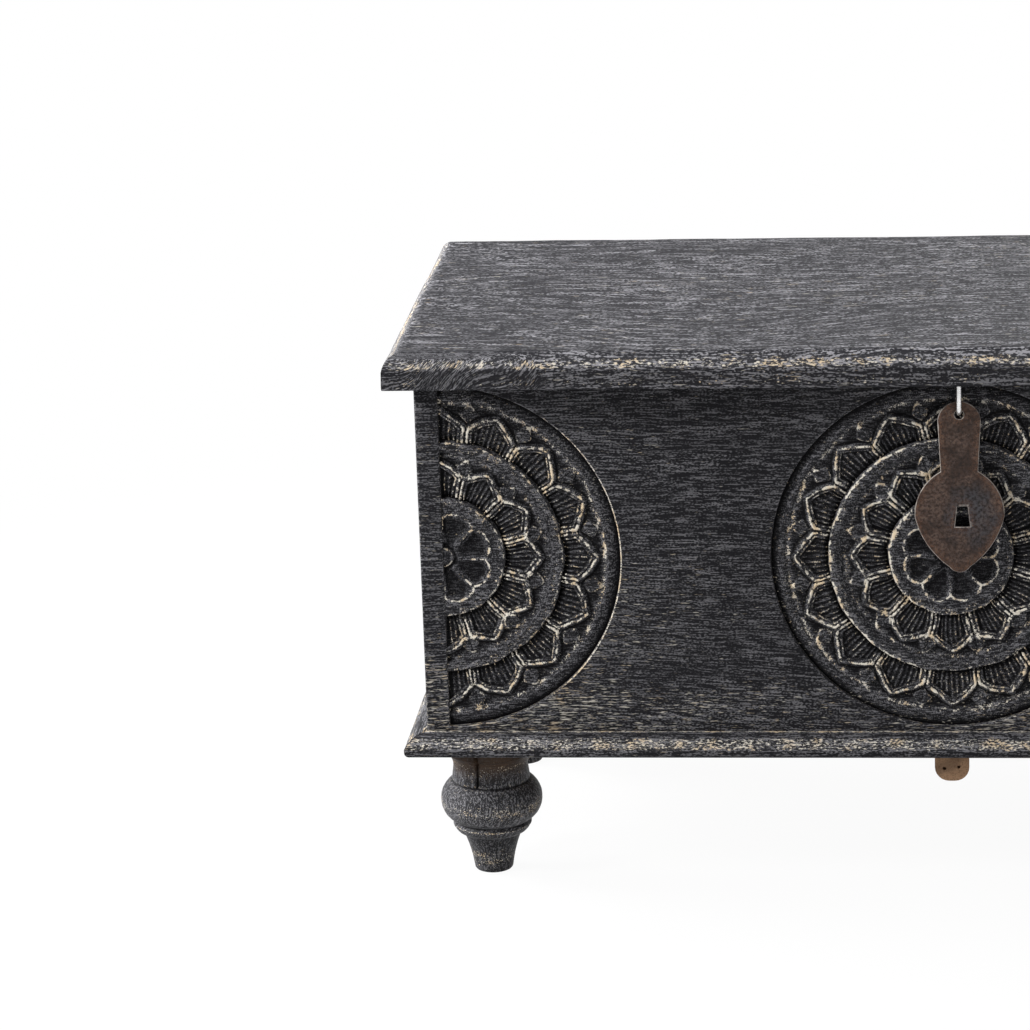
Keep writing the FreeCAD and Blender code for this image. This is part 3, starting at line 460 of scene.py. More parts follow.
def grain_group():
    """Open grain that runs along X: growth lines, thin fibres, streaks, broad clouds and a height."""
    nodes, given, out = new_group(
        "open_grain", ("Vector", "Swirl", "Rings"), ("Lines", "Fibres", "Streaks", "Cloud", "Height"))
    place = given["Vector"]
    drift = nodes.noise(place, (3.0, 7.0, 7.0), detail=1.0, output="Color")
    drift = nodes.vector("SCALE", nodes.vector("SUBTRACT", drift, (0.5, 0.5, 0.5)), given["Swirl"])
    bent = nodes.vector("ADD", place, nodes.vector("MULTIPLY", drift, (0.3, 1.0, 1.0)))
    growth = nodes.noise(bent, (1.3, 15.0, 15.0), detail=1.5, roughness=0.4)
    ring = nodes.sum("SINE", nodes.times(growth, nodes.times(given["Rings"], FULL_TURN)))
    lines = nodes.step(ring, -0.4, 0.9)
    pores = nodes.noise(bent, (48.0, 780.0, 780.0), roughness=0.6)
    grit = nodes.noise(place, (420.0, 820.0, 820.0), detail=1.0)
    fibres = nodes.plus(pores, nodes.times(nodes.sum("SUBTRACT", grit, 0.5), 0.75))
    streaks = nodes.noise(bent, (7.0, 190.0, 190.0), detail=3.0, roughness=0.6)
    nodes.fill(out, {
        "Lines": lines,
        "Fibres": nodes.step(fibres, 0.48, 0.67),
        "Streaks": nodes.step(streaks, 0.36, 0.66),
        "Cloud": nodes.noise(place, (3.5, 9.0, 9.0), roughness=0.55),
        "Height": nodes.plus(nodes.times(pores, 0.75), nodes.times(lines, 0.25)),
    })


def brush_group():
    """Pale paint from a nearly dry brush: on worn edges first, then in sparse dashes along the grain."""
    nodes, given, out = new_group(
        "dry_brush", ("Vector", "Worn", "Cloud", "Amount", "Edges"), ("Paint", "Yellow"))
    place = given["Vector"]
    tone = nodes.noise(place, 55.0, detail=1.0)
    speck = nodes.noise(place, (330.0, 760.0, 760.0), roughness=0.6)
    worn = nodes.times(given["Worn"], given["Edges"], 0.56)
    mottle = nodes.times(nodes.step(tone, 0.34, 0.66), 0.09)
    rubbed = nodes.step(nodes.plus(speck, worn, mottle), 1.02, 1.16)
    aside = nodes.vector("ADD", place, (0.31, 0.17, 0.53))
    dash = nodes.noise(aside, (90.0, 760.0, 760.0), roughness=0.6)
    patch = nodes.times(nodes.step(given["Cloud"], 0.34, 0.68), given["Amount"], 0.16)
    field = nodes.step(nodes.plus(dash, patch), 0.70, 0.82)
    paint = nodes.most(rubbed, nodes.times(field, 0.6))
    nodes.fill(out, {"Paint": paint, "Yellow": nodes.step(tone, 0.46, 0.68)})


def inside_group():
    """1 on faces that look into the chest, 0 outside."""
    nodes, given, out = new_group("unstained_inside", ("Vector",), ("Inside",))
    left, right = (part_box(name) for name in END_BOARDS)
    low = (left[1].x, FRONT_HIGH.y, FRONT_LOW.z)
    high = (right[0].x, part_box("back_board")[0].y, FRONT_HIGH.z)
    middle = [(a + b) / 2 for a, b in zip(low, high)]
    half = [(b - a) / 2 + 0.0012 for a, b in zip(low, high)]
    reach = nodes.vector("ABSOLUTE", nodes.vector("SUBTRACT", given["Vector"], middle))
    parts = nodes.split(nodes.vector("SUBTRACT", reach, half))
    nodes.join(nodes.sum("LESS_THAN", nodes.most(parts[0], parts[1], parts[2]), 0.0), out["Inside"])


def pitting_group():
    """Uneven skin of old metal: blotches, pits and a height."""
    nodes, given, out = new_group("metal_skin", ("Vector", "Scale"), ("Blotch", "Pits", "Height"))
    place = nodes.vector("SCALE", given["Vector"], given["Scale"])
    blotch = nodes.noise(place, 70.0, detail=4.0, roughness=0.6)
    pits = nodes.noise(place, 520.0, roughness=0.6)
    nodes.fill(out, {
        "Blotch": nodes.step(blotch, 0.36, 0.64),
        "Pits": nodes.step(pits, 0.42, 0.66),
        "Height": nodes.plus(nodes.times(blotch, 0.5), nodes.times(pits, 0.5)),
    })


def new_material(name):
    """A plain material, its nodes, its shader's sockets, the place on the piece and the colours."""
    material = bpy.data.materials.new(name)
    material.use_nodes = True
    material.node_tree.nodes.clear()
    nodes = Nodes(material.node_tree)
    shader = nodes.add("ShaderNodeBsdfPrincipled")
    nodes.add("ShaderNodeOutputMaterial", {"Surface": shader.outputs[0]})
    place = nodes.add("ShaderNodeTexCoord").outputs["Object"]
    return material, nodes, shader.inputs, place, bpy.context.scene.chest_colours


def shaded(tint, share):
    return tuple(part * share for part in tint)


def black_wood(
        name, turn=(0, 0, 0), shift=(0, 0, 0), stretch=(1, 1, 1), swirl=0.03, rings=8.0, amount=0.5, edges=1.0,
        bump=0.5, lift=1.0, gloss=0.03, carved=False, curl=0.0, low=0.0, streak=0.32, broken=0.0):
    """Black stained wood, wire brushed and rubbed with pale paint.

    turn lays the grain along another axis, stretch packs it closer, lift lightens it and curl leans it
    towards the left end. low adds paint towards the floor, streak sets how far long streaks show, and
    broken breaks the paint on the edges into short strokes. carved paints shade, near black, where the
    painted_shade mark is set.
    """
    material, nodes, shader, place, tint = new_material(name)
    along = place
    if curl:
        wave = nodes.times(nodes.noise(place, 9.0, detail=1.0), 0.14)
        upward = nodes.split(nodes.add("ShaderNodeNewGeometry").outputs["Normal"])[2]
        bend = nodes.step(upward, 0.97, 0.75, 0.0, -curl)
        leftward = nodes.sum("MINIMUM", nodes.plus(nodes.split(place)[0], 0.31, wave), 0.0)
        rise = nodes.add("ShaderNodeCombineXYZ", {"Z": nodes.times(leftward, bend)}).outputs[0]
        along = nodes.vector("ADD", place, rise)
    along, grain = nodes.open_grain(along, shift, turn, stretch, swirl, rings)
    fibres, lines, cloud = grain["Fibres"], grain["Lines"], grain["Cloud"]
    # the worn mark is mostly wear; on the rosette and groove edges and the lid's rounds it also carries
    # painted highlight
    worn = nodes.mark("worn")
    if broken:
        rubs = nodes.noise(place, 230.0)
        worn = nodes.times(worn, nodes.step(rubs, 0.3, 0.7, 1.0 - broken, 0.97 + broken))
    if low:
        amount = nodes.step(nodes.split(place)[2], 0.36, 0.18, amount, amount + low)
    brush = nodes.group("dry_brush", {
        "Vector": along, "Worn": worn, "Cloud": cloud, "Amount": amount, "Edges": edges})
    share = nodes.plus(
        0.52 - streak / 2, nodes.times(grain["Streaks"], streak), nodes.times(lines, 0.15),
        nodes.times(cloud, 0.25))
    rubbed = nodes.times(worn, nodes.plus(0.08, nodes.times(fibres, 0.7)))
    wash = nodes.plus(nodes.times(fibres, share), rubbed)
    dark = nodes.mix(wash, shaded(tint.black, lift), shaded(tint.wash, lift))
    # painted shade: near black where the painted_shade mark is set, in hollows, grooves and shaded faces
    if carved:
        dark = nodes.mix(nodes.times(nodes.mark("painted_shade"), 0.97), dark, (0.0022, 0.0022, 0.0025))
    stained = nodes.mix(brush["Paint"], dark, nodes.mix(brush["Yellow"], tint.cream, tint.gold))
    bare = nodes.mix(nodes.times(lines, 0.5), tint.bare, tint.bare_dark)
    bare = nodes.mix(nodes.times(fibres, 0.4), bare, tint.bare_dark)
    inside = nodes.group("unstained_inside", {"Vector": place})["Inside"]
    thin = nodes.times(nodes.mark("bare"), nodes.step(cloud, 0.3, 0.7, 0.35, 1.0))
    dull = nodes.plus(brush["Paint"], nodes.times(wash, 0.5))
    nodes.fill(shader, {
        "Base Color": nodes.mix(nodes.most(inside, thin), stained, bare),
        "Roughness": nodes.step(dull, 0.0, 1.0, 0.46, 0.74),
        "Specular IOR Level": gloss,
        "Normal": nodes.bump(grain["Height"], bump, 0.0011),
    })
    return material


def bare_wood(name, turn=(0, 0, 0), shift=(0, 0, 0), swirl=0.02, lift=1.0):
    """Plain brown wood with dark grain."""
    material, nodes, shader, place, tint = new_material(name)
    _, grain = nodes.open_grain(place, shift, turn, (1, 1, 1), swirl, 7.0)
    pale, dark = shaded(tint.bare, lift), shaded(tint.bare_dark, lift)
    wood = nodes.mix(nodes.times(grain["Lines"], 0.6), pale, dark)
    wood = nodes.mix(nodes.times(grain["Fibres"], 0.6), wood, dark)
    nodes.fill(shader, {
        "Base Color": nodes.mix(nodes.step(grain["Cloud"], 0.35, 0.7, 0.0, 0.45), wood, (0.10, 0.075, 0.055)),
        "Roughness": nodes.step(grain["Fibres"], 0.0, 1.0, 0.62, 0.8),
        "Specular IOR Level": 0.15,
        "Normal": nodes.bump(grain["Height"], 0.35, 0.0008),
    })
    return material


def old_iron():
    """Dark iron with patches of rust."""
    material, nodes, shader, place, tint = new_material("old_iron")
    skin = nodes.group("metal_skin", {"Vector": place, "Scale": 1.4})
    metal = nodes.mix(skin["Blotch"], tint.iron, tint.rust)
    nodes.fill(shader, {
        "Base Color": nodes.mix(nodes.times(skin["Pits"], 0.4), metal, tint.rust_bright),
        "Metallic": nodes.step(skin["Blotch"], 0.0, 1.0, 0.75, 0.3),
        "Roughness": nodes.step(skin["Pits"], 0.0, 1.0, 0.42, 0.68),
        "Normal": nodes.bump(skin["Height"], 0.4, 0.0006),
    })
    return material


def rusted_plate(middle):
    """Rust brown sheet with a blue grey middle, bright rust towards the edge and pale rubbed metal on
    its bevel, which is partly wear and partly a painted edge highlight.
    """
    material, nodes, shader, place, tint = new_material("rusted_iron")
    skin = nodes.group("metal_skin", {"Vector": place, "Scale": 1.0})
    fine = nodes.group("metal_skin", {"Vector": place, "Scale": 5.0})
    far = nodes.vector("DISTANCE", nodes.vector("MULTIPLY", place, (1.0, 0.0, 1.0)), middle)
    far = nodes.plus(far, nodes.times(skin["Blotch"], 0.014))
    blue = nodes.times(nodes.step(far, 0.040, 0.012), 0.9)
    metal = nodes.mix(skin["Blotch"], shaded(tint.rust, 0.7), shaded(tint.rust, 2.2))
    metal = nodes.mix(blue, metal, tint.scale)
    metal = nodes.mix(nodes.times(fine["Blotch"], 0.9), metal, (0.009, 0.007, 0.007))
    edge = nodes.plus(nodes.times(nodes.mark("rim"), 0.9), nodes.times(nodes.sum("SUBTRACT", 1.0, blue), 0.3))
    grit = nodes.times(nodes.step(fine["Pits"], 0.1, 0.9), nodes.step(skin["Pits"], 0.0, 0.7, 0.35, 1.0))
    metal = nodes.mix(nodes.sum("MULTIPLY", edge, grit, clamp=True), metal, tint.rust_bright)
    rub_and_highlight = nodes.times(nodes.mark("worn"), nodes.step(skin["Blotch"], 0.05, 0.7, 0.25, 1.0))
    nodes.fill(shader, {
        "Base Color": nodes.mix(rub_and_highlight, metal, (0.42, 0.39, 0.36)),
        "Metallic": nodes.times(blue, 0.35),
        "Roughness": nodes.step(skin["Pits"], 0.0, 1.0, 0.5, 0.72),
        "Specular IOR Level": 0.15,
        "Normal": nodes.bump(fine["Height"], 0.6, 0.0008),
    })
    return material


def bright_wire():
    """Bright drawn wire, a little dulled."""
    material, nodes, shader, place, tint = new_material("bright_wire")
    skin = nodes.group("metal_skin", {"Vector": place, "Scale": 2.5})
    nodes.fill(shader, {
        "Base Color": nodes.mix(nodes.times(skin["Blotch"], 0.35), tint.wire, (0.52, 0.52, 0.53)),
        "Roughness": nodes.step(skin["Pits"], 0.0, 1.0, 0.26, 0.42),
        "Metallic": 0.85,
    })
    return material


def backdrop():
    """Pale floor that reads white to the camera and keeps a soft shadow."""
    material, nodes, shader, place, tint = new_material("pale_floor")
    grey = nodes.mix(nodes.noise(place, 2.0), tint.floor, shaded(tint.floor, 0.98))
    nodes.fill(shader, {"Base Color": grey, "Roughness": 0.9, "Specular IOR Level": 0.0})
    glow = nodes.add("ShaderNodeEmission", {"Color": (1, 1, 1, 1), "Strength": 1.0})
    far = nodes.step(nodes.vector("LENGTH", place), 0.7, 1.6, 0.95, 1.0)
    made = {node.type: node for node in material.node_tree.nodes}
    share = nodes.times(nodes.backdrop_rays(), far)
    both = nodes.add("ShaderNodeMixShader", {
        0: share, 1: made["BSDF_PRINCIPLED"].outputs[0], 2: glow.outputs[0]})
    nodes.join(both.outputs[0], made["OUTPUT_MATERIAL"].inputs[0])
    return material


# Carving, in millimetres: r from the rosette's middle, s from -1 to 1 across one petal

def petal_ring(r, s, inner, outer, junction, tip, petals, flutes):
    """Height, wear and shade of one pointed petal with a double border and a fluted inside.

    The petals rise from inner, part at junction, end at tip, and their field ends at outer.
    """
    side = np.abs(s)
    arc = math.pi / petals * r
    border = junction + (tip - junction) * (1 - side ** PETAL_POINT)
    lean = np.sqrt(1 + ((tip - junction) * PETAL_POINT * side ** (PETAL_POINT - 1) / arc) ** 2)
    across = (1 - side) * arc
    stem = np.where(r < junction, across, np.hypot(across, r - junction))
    within = np.where(r < border, np.minimum((border - r) / lean, stem), 0)
    beyond = np.maximum(r - border, 0) / lean
    bead = hill(within - 1.9, 1.65) * (1 - ease(0.0, 1.4, beyond))
    second = hill(within - 5.4, 0.9)
    lip = hill(r - outer + 0.9, 1.0)
    bed = -2.3 - 1.6 * (outer - r) / (outer - inner)
    hollow = ease(6.2, 7.8, within)
    flute = (0.5 + 0.5 * np.cos(math.pi * flutes * s)) ** 2 * hollow
    leaf = np.clip(1 - (across / 9.0) ** 1.3 - (np.abs(r - tip + 5.0) / 9.5) ** 1.1, 0, 1)
    height = (bed + 2.3 * bead + 1.4 * second - 1.6 * ease(5.8, 7.2, within) + 1.1 * flute
              - 1.6 * ease(0.8, 2.4, beyond) + 2.1 * ease(0.0, 0.3, leaf)
              - 1.1 * hill(across, 0.8) * ease(0.3, 0.5, leaf) + 0.2 * lip - 1.8 * hill(r - inner, 3.0))
    worn = (0.13 + bead * (0.76 + 0.28 * hill(r - junction, 6.0)) + 0.62 * second
            + (0.36 * hill(leaf - 0.2, 0.18) + 0.16) * ease(0.0, 0.1, leaf)
            + 0.44 * hill(r - tip - 4.0, 2.8) * ease(0.5, 1.5, beyond)
            + 0.5 * flute * (1 - 0.4 * ease(0, 12, r - junction)))
    # shade is painted shade: along the stems, beside the beads, in the hollows, between the petals and at
    # their base
    gap_shade = (0.6 * hill(beyond - 1.8, 1.2) + 0.75 * ease(1.0, 2.0, beyond)) * (1 - ease(-1, 5, r - tip))
    shade = (hill(within, 0.8) * (r < junction + 1) + 0.8 * hill(within - 3.8, 0.6)
             + 0.9 * hill(within - 6.9, 0.8) + gap_shade + hill(r - inner, 3.2) + 0.8 * (hollow - flute) * hollow)
    return height, worn, np.clip(shade, 0, 1) * (1 - 0.85 * ease(0.0, 0.2, leaf))


def rim(r, inner, outer):
    """Raised rim with a steep outer wall, and painted shade in the shallow groove on its top."""
    middle, half = (inner + outer) / 2 - 0.5, (outer - inner) / 2
    top = -0.75 - 0.75 * ((r - middle) / half) ** 2 - 0.5 * hill(r - inner - 2.6, 0.8)
    wall = ease(outer - 1.1, outer, r)
    worn = 0.55 * hill(r - outer + 1.5, 1.3) + 0.5 * hill(r - middle, half)
    return top * (1 - wall) - 4.9 * wall, worn, 0.5 * hill(r - inner - 2.6, 0.7)


def blend(share, first, second):
    """Two carvings, each with its height, wear and shade, blended into one."""
    return [a * (1 - share) + b * share for a, b in zip(first, second)]


def outer_carving(r, s):
    share = ease(147.2, 148.6, r)
    slope = -2.1 - 3.0 * ease(147.5, 160.5, r)
    petals = petal_ring(r, s, MIDDLE_RIM[1], FIELD_EDGE, 124, 141, OUTER_PETALS, 10)
    height, worn, shade = blend(share, petals, (slope, 0, 0))
    # the outer groove's band gets painted shadow, as if cast by the board's edge
    return height, worn + 0.24 * hill(r - 149, 4.0), shade + ease(153.0, 158.5, r)


def middle_carving(r, s):
    petals = petal_ring(r, s, FLOWER_RIM[1], MIDDLE_RIM[0], 77.5, 90.5, MIDDLE_PETALS, 9)
    return blend(ease(97.4, 98.8, r), petals, rim(r, *MIDDLE_RIM))


def flower_carving(r, s):
    side = np.abs(s)
    across = (1 - side) * (math.pi / FLOWER_PETALS * np.maximum(r, 1))
    border = 43.5 - 6.5 * side ** 2.2
    stem = np.where(r < 37, across, np.hypot(across, r - 37))
    within = np.where(r < border, np.minimum((border - r) * 0.85, stem), 0)
    beyond = np.maximum(r - border, 0) * 0.85
    height = -1.2 - 3.3 * ease(0.9, 5.5, within)
    worn = hill(within + beyond - 0.4, 1.1) * ease(16, 30, r) * (0.82 + 0.15 * ease(0.3, 0.8, side))
    # shade is painted shade: in the petal hollows here, and in the moat round the hub below
    shade = ease(2.2, 5.0, within) * 0.7
    flower = blend(ease(45.0, 46.6, r), (height, worn, shade), rim(r, *FLOWER_RIM))
    hub = -0.7 - 2.2 * (r / 9.5) ** 2
    moat = -4.3 + 1.5 * ease(12.0, 17.0, r)
    dome = ease(8.6, 10.0, r)
    centre = hub * (1 - dome) + moat * dome
    height, worn, shade = blend(1 - ease(11.0, 16.0, r), flower, (centre, 0, 0))
    return height, worn + 0.9 * hill(r - 8.2, 1.1), shade + hill(r - 10.6, 1.4)


def levels(start, end, count):
    return [start + (end - start) * step / count for step in range(count + 1)]


# Name, carving, petals, columns of points in a petal, levels of points and half petals turned
RINGS = (
    ("outer_ring", outer_carving, OUTER_PETALS, 54,
     levels(MIDDLE_RIM[1], FIELD_EDGE, 38) + [149.5, 151, 153, 155, 157, 158.6, 159.9], 0),
    ("middle_ring", middle_carving, MIDDLE_PETALS, 50,
     levels(FLOWER_RIM[1], MIDDLE_RIM[0], 42)
     + [99.2, 100.4, 101.6, 103, 104.5, 106, 107, 107.8, 108.3, 108.8, 109], 0),
    ("flower", flower_carving, FLOWER_PETALS, 34,
     [0, 2, 4, 6, 7.4, 8.4, 9.2, 10, 11, 12.2] + levels(13.2, 46.2, 30)
     + [47.4, 49, 51, 53, 54.2, 54.9, 55.4, 56], 1),
)


def carved_ring(name, carving, petals, columns, rows, turned, centre):
    """One petal shaped from a grid, then copied round the middle and closed behind."""
    bpy.ops.mesh.primitive_grid_add(x_subdivisions=columns, y_subdivisions=len(rows) - 1, size=1)
    ring = settle(name)
    flat, _ = spots(ring)
    s = np.clip(flat[:, 0] * 2, -1, 1)
    r = np.interp(flat[:, 1] + 0.5, np.linspace(0, 1, len(rows)), rows)
    height, worn, shade = carving(r, s)
    height = np.minimum(height, -0.25)
    angle = (s + turned) * math.pi / petals
    outwards = np.stack([r * np.sin(angle), -height, -r * np.cos(angle)], axis=1)
    move_spots(ring, np.array(centre) + outwards / MM)
    mark(ring, "worn", worn)
    # the carving's shade goes into this mark and is painted into its colour
    mark(ring, "painted_shade", shade)
    bpy.ops.object.empty_add()
    pivot = bpy.context.object
    middle = Matrix.Translation(centre)
    pivot.matrix_world = middle @ Matrix.Rotation(2 * math.pi / petals, 4, "Y") @ middle.inverted()
    modify(
        ring, "ARRAY", count=petals, use_relative_offset=False, use_object_offset=True, offset_object=pivot,
        use_merge_vertices=True, use_merge_vertices_cap=True, merge_threshold=WELD)
    bpy.data.objects.remove(pivot)
    edit(ring, "VERT")
    bpy.ops.mesh.remove_doubles(threshold=WELD)
    bpy.ops.mesh.select_all(action="DESELECT")
    bpy.ops.mesh.select_non_manifold(extend=False)
    bpy.ops.mesh.extrude_edges_move()
    mesh = bmesh.from_edit_mesh(ring.data)
    for spot in mesh.verts:
        if spot.select:
            spot.co.y = centre[1] + bpy.context.scene.chest_sizes.pocket
    bmesh.update_edit_mesh(ring.data)
    bpy.ops.mesh.select_mode(type="EDGE")
    if rows[0] > 0:
        bpy.ops.mesh.bridge_edge_loops()
    else:
        bpy.ops.mesh.edge_face_add()
    return face_outwards(ring)


def rosette(name, centre):
    """Three carved rings joined into one piece, with a little of the carver's sway.

    The rims' outer edges get a painted highlight on the left, towards the light.
    """
    outer, middle, flower = [carved_ring(*ring, centre) for ring in RINGS]
    only(middle, flower, outer)
    bpy.ops.object.join()
    whole = settle(name, outer)
    place, _ = spots(whole)
    reach = np.hypot(place[:, 0] - centre[0], place[:, 2] - centre[2])
    weights = (1 - ease(0.146, 0.156, reach)) * (place[:, 1] < centre[1] + 0.0065)
    stray(whole, "sway", weights, 0.02, 0.024, "COLOR", direction="RGB_TO_XYZ", mid_level=0.5,
          strength=bpy.context.scene.chest_sizes.carving_sway * 2)
    place, _ = spots(whole)
    place[:, 1] = np.maximum(place[:, 1], centre[1] + 0.0001)
    move_spots(whole, place)
    # painted highlight: the rims' outer edges are paler on the left, towards the light, and duller on the
    # right
    edge = hill(reach * MM - 107.4, 1.6) + hill(reach * MM - 54.4, 1.6)
    leftward = ease(0.0, 0.8, (centre[0] - place[:, 0]) / np.maximum(reach, 0.001))
    return mark(whole, "worn", marked(whole, "worn") + edge * (0.28 * leftward - 0.08))


# Pieces

class CHEST_OT_finishes(bpy.types.Operator):
    """Build the shader groups that the finishes share"""
    bl_idname = "chest.finishes"
    bl_label = "Finishes"

    def execute(self, context):
        grain_group()
        brush_group()
        inside_group()
        pitting_group()
        return {"FINISHED"}


class CHEST_OT_stage(bpy.types.Operator):
    """Floor, soft lamps, white surroundings and the camera"""
    bl_idname = "chest.stage"
    bl_label = "Stage"

    def execute(self, context):
        bpy.ops.mesh.primitive_plane_add(size=40)
        floor = settle("floor")
        floor.data.materials.append(backdrop())
        for name, place, aim, size, power, shine in LAMPS:
            bpy.ops.object.light_add(type="AREA", location=place)
            lamp = bpy.context.object
            lamp.name, lamp.visible_glossy = name, shine
            lamp.data.size, lamp.data.energy = size, power
            lamp.rotation_euler = (Vector(aim) - Vector(place)).to_track_quat("-Z", "Y").to_euler()
        world = bpy.data.worlds.new("white_room")
        world.use_nodes = True
        world.node_tree.nodes.clear()
        nodes = Nodes(world.node_tree)
        strength = nodes.step(nodes.backdrop_rays(), 0.0, 1.0, ROOM_LIGHT, 1.0)
        sky = nodes.add("ShaderNodeBackground", {"Color": (1, 1, 1, 1), "Strength": strength})
        nodes.add("ShaderNodeOutputWorld", {"Surface": sky.outputs[0]})
        context.scene.world = world
        context.scene.view_settings.view_transform = "Standard"
        bpy.ops.object.camera_add(location=CAMERA_PLACE)
        camera = bpy.context.object
        camera.name = "photo_camera"
        camera.data.sensor_width, camera.data.lens = CAMERA_SENSOR, CAMERA_LENS
        turn, tilt, roll = (Matrix.Rotation(math.radians(angle), 3, axis) for angle, axis in (
            (CAMERA_TURN, "Z"), (90 - CAMERA_DROP, "X"), (CAMERA_ROLL, "Z")))
        camera.rotation_euler = (turn @ tilt @ roll).to_euler()
        context.scene.camera = camera
        return {"FINISHED"}


def rebates(low, high, front):
    """Cutters for the inner corners of a front or back board, where the end boards sit."""
    cutters = []
    for name, side in zip(END_BOARDS, (-1, 1)):
        near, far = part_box(name)
        cutters.append(block(
            "rebate", (near.x - 0.03 * (side < 0), near.y if front else low.y - PAST, low.z - PAST),
            (far.x + 0.03 * (side > 0), high.y + PAST if front else far.y, high.z + PAST)))
    return cutters


class CHEST_OT_carved_front(bpy.types.Operator):
    """Front board with a whole rosette in the middle and half a rosette at each end"""
    bl_idname = "chest.carved_front"
    bl_label = "Carved front"

    def execute(self, context):
        size = context.scene.chest_sizes
        step = size.rosette_step
        board = block("carved_front", FRONT_LOW, FRONT_HIGH)
        ends = [slice_at(self.pocket(side * step), (side * step, 0, ROSETTE_Z), (side, 0, 0), keep="back")
                for side in (-1, 1)]
        carve(board, self.pocket(0), *ends, *rebates(FRONT_LOW, FRONT_HIGH, True))
        soften(board, size.board_edge, segments=4)
        place, _ = spots(board)
        worn = 0.4
        for x in (-step, 0, step):
            reach = np.hypot(place[:, 0] - x, place[:, 2] - ROSETTE_Z)
            # painted highlight: the groove's edge is paler on each rosette's right side, whose wall faces the
            # light
            light_facing = ease(0.35, 0.85, (place[:, 0] - x) / size.rosette)
            worn = worn + hill(reach - size.rosette, 0.004) * (0.1 + 0.55 * light_facing)
        mark_edges(board, worn)
        front_wood = black_wood("black_wood_front", swirl=0.035, lift=0.9, low=0.5)
        hand_over(board, front_wood, "front_board")
        carved = black_wood(
            "black_wood_carved", stretch=(2.5, 1, 1), swirl=0.02, amount=0.4, edges=1.15, lift=0.92,
            carved=True, low=0.2, broken=0.4)
        middle = rosette("middle_rosette", Vector((0, FRONT, ROSETTE_Z)))
        pieces = [middle]
        for name, cut, keep in (("left_rosette", -step, "front"), ("right_rosette", step, "back")):
            half = twin(middle, name, Matrix.Translation((cut, 0, 0)))
            slice_at(half, (cut, 0, 0), (1, 0, 0), keep=keep)
            self.shadow_line(half, cut)
            pieces.append(half)
        for piece in pieces:
            hand_over(piece, carved, "front_board", angle=65)
        return {"FINISHED"}

    def pocket(self, x):
        size = bpy.context.scene.chest_sizes
        return rod("pocket", size.rosette, (x, FRONT - PAST, ROSETTE_Z), (x, FRONT + size.pocket, ROSETTE_Z))

    def shadow_line(self, piece, cut):
        """Painted shade in the hollows where the carving runs into an end strip."""
        place, _ = spots(piece)
        low = ease(1.6, 2.6, (place[:, 1] - FRONT) * MM)
        strip_shade = low * (1 - ease(2.0, 6.0, np.abs(place[:, 0] - cut) * MM))
        mark(piece, "painted_shade", np.maximum(marked(piece, "painted_shade"), strip_shade))


class CHEST_OT_boards(bpy.types.Operator):
    """Back board, and the finish of the end boards and the hinge rail"""
    bl_idname = "chest.boards"
    bl_label = "Boards"

    def execute(self, context):
        low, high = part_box("back_board")
        board = block("plain_back", low, high)
        carve(board, *rebates(low, high, False))
        soften(board, context.scene.chest_sizes.board_edge)
        mark_edges(board, 0.6)
        plain = black_wood("black_wood_back", shift=(0.4, 0.3, 0.2), swirl=0.05, amount=0.35)
        hand_over(board, plain, "back_board")
        finish_nodes(plain, "hinge_rail")
        # lift 0.7 keeps the end boards darker than the front, against the strong side lamps: painted shade
        ends = black_wood(
            "black_wood_ends", turn=(0, 0, QUARTER), shift=(0.7, 0.1, 0.35), swirl=0.16, rings=9.0, lift=0.7)
        finish_nodes(ends, *END_BOARDS)
        return {"FINISHED"}


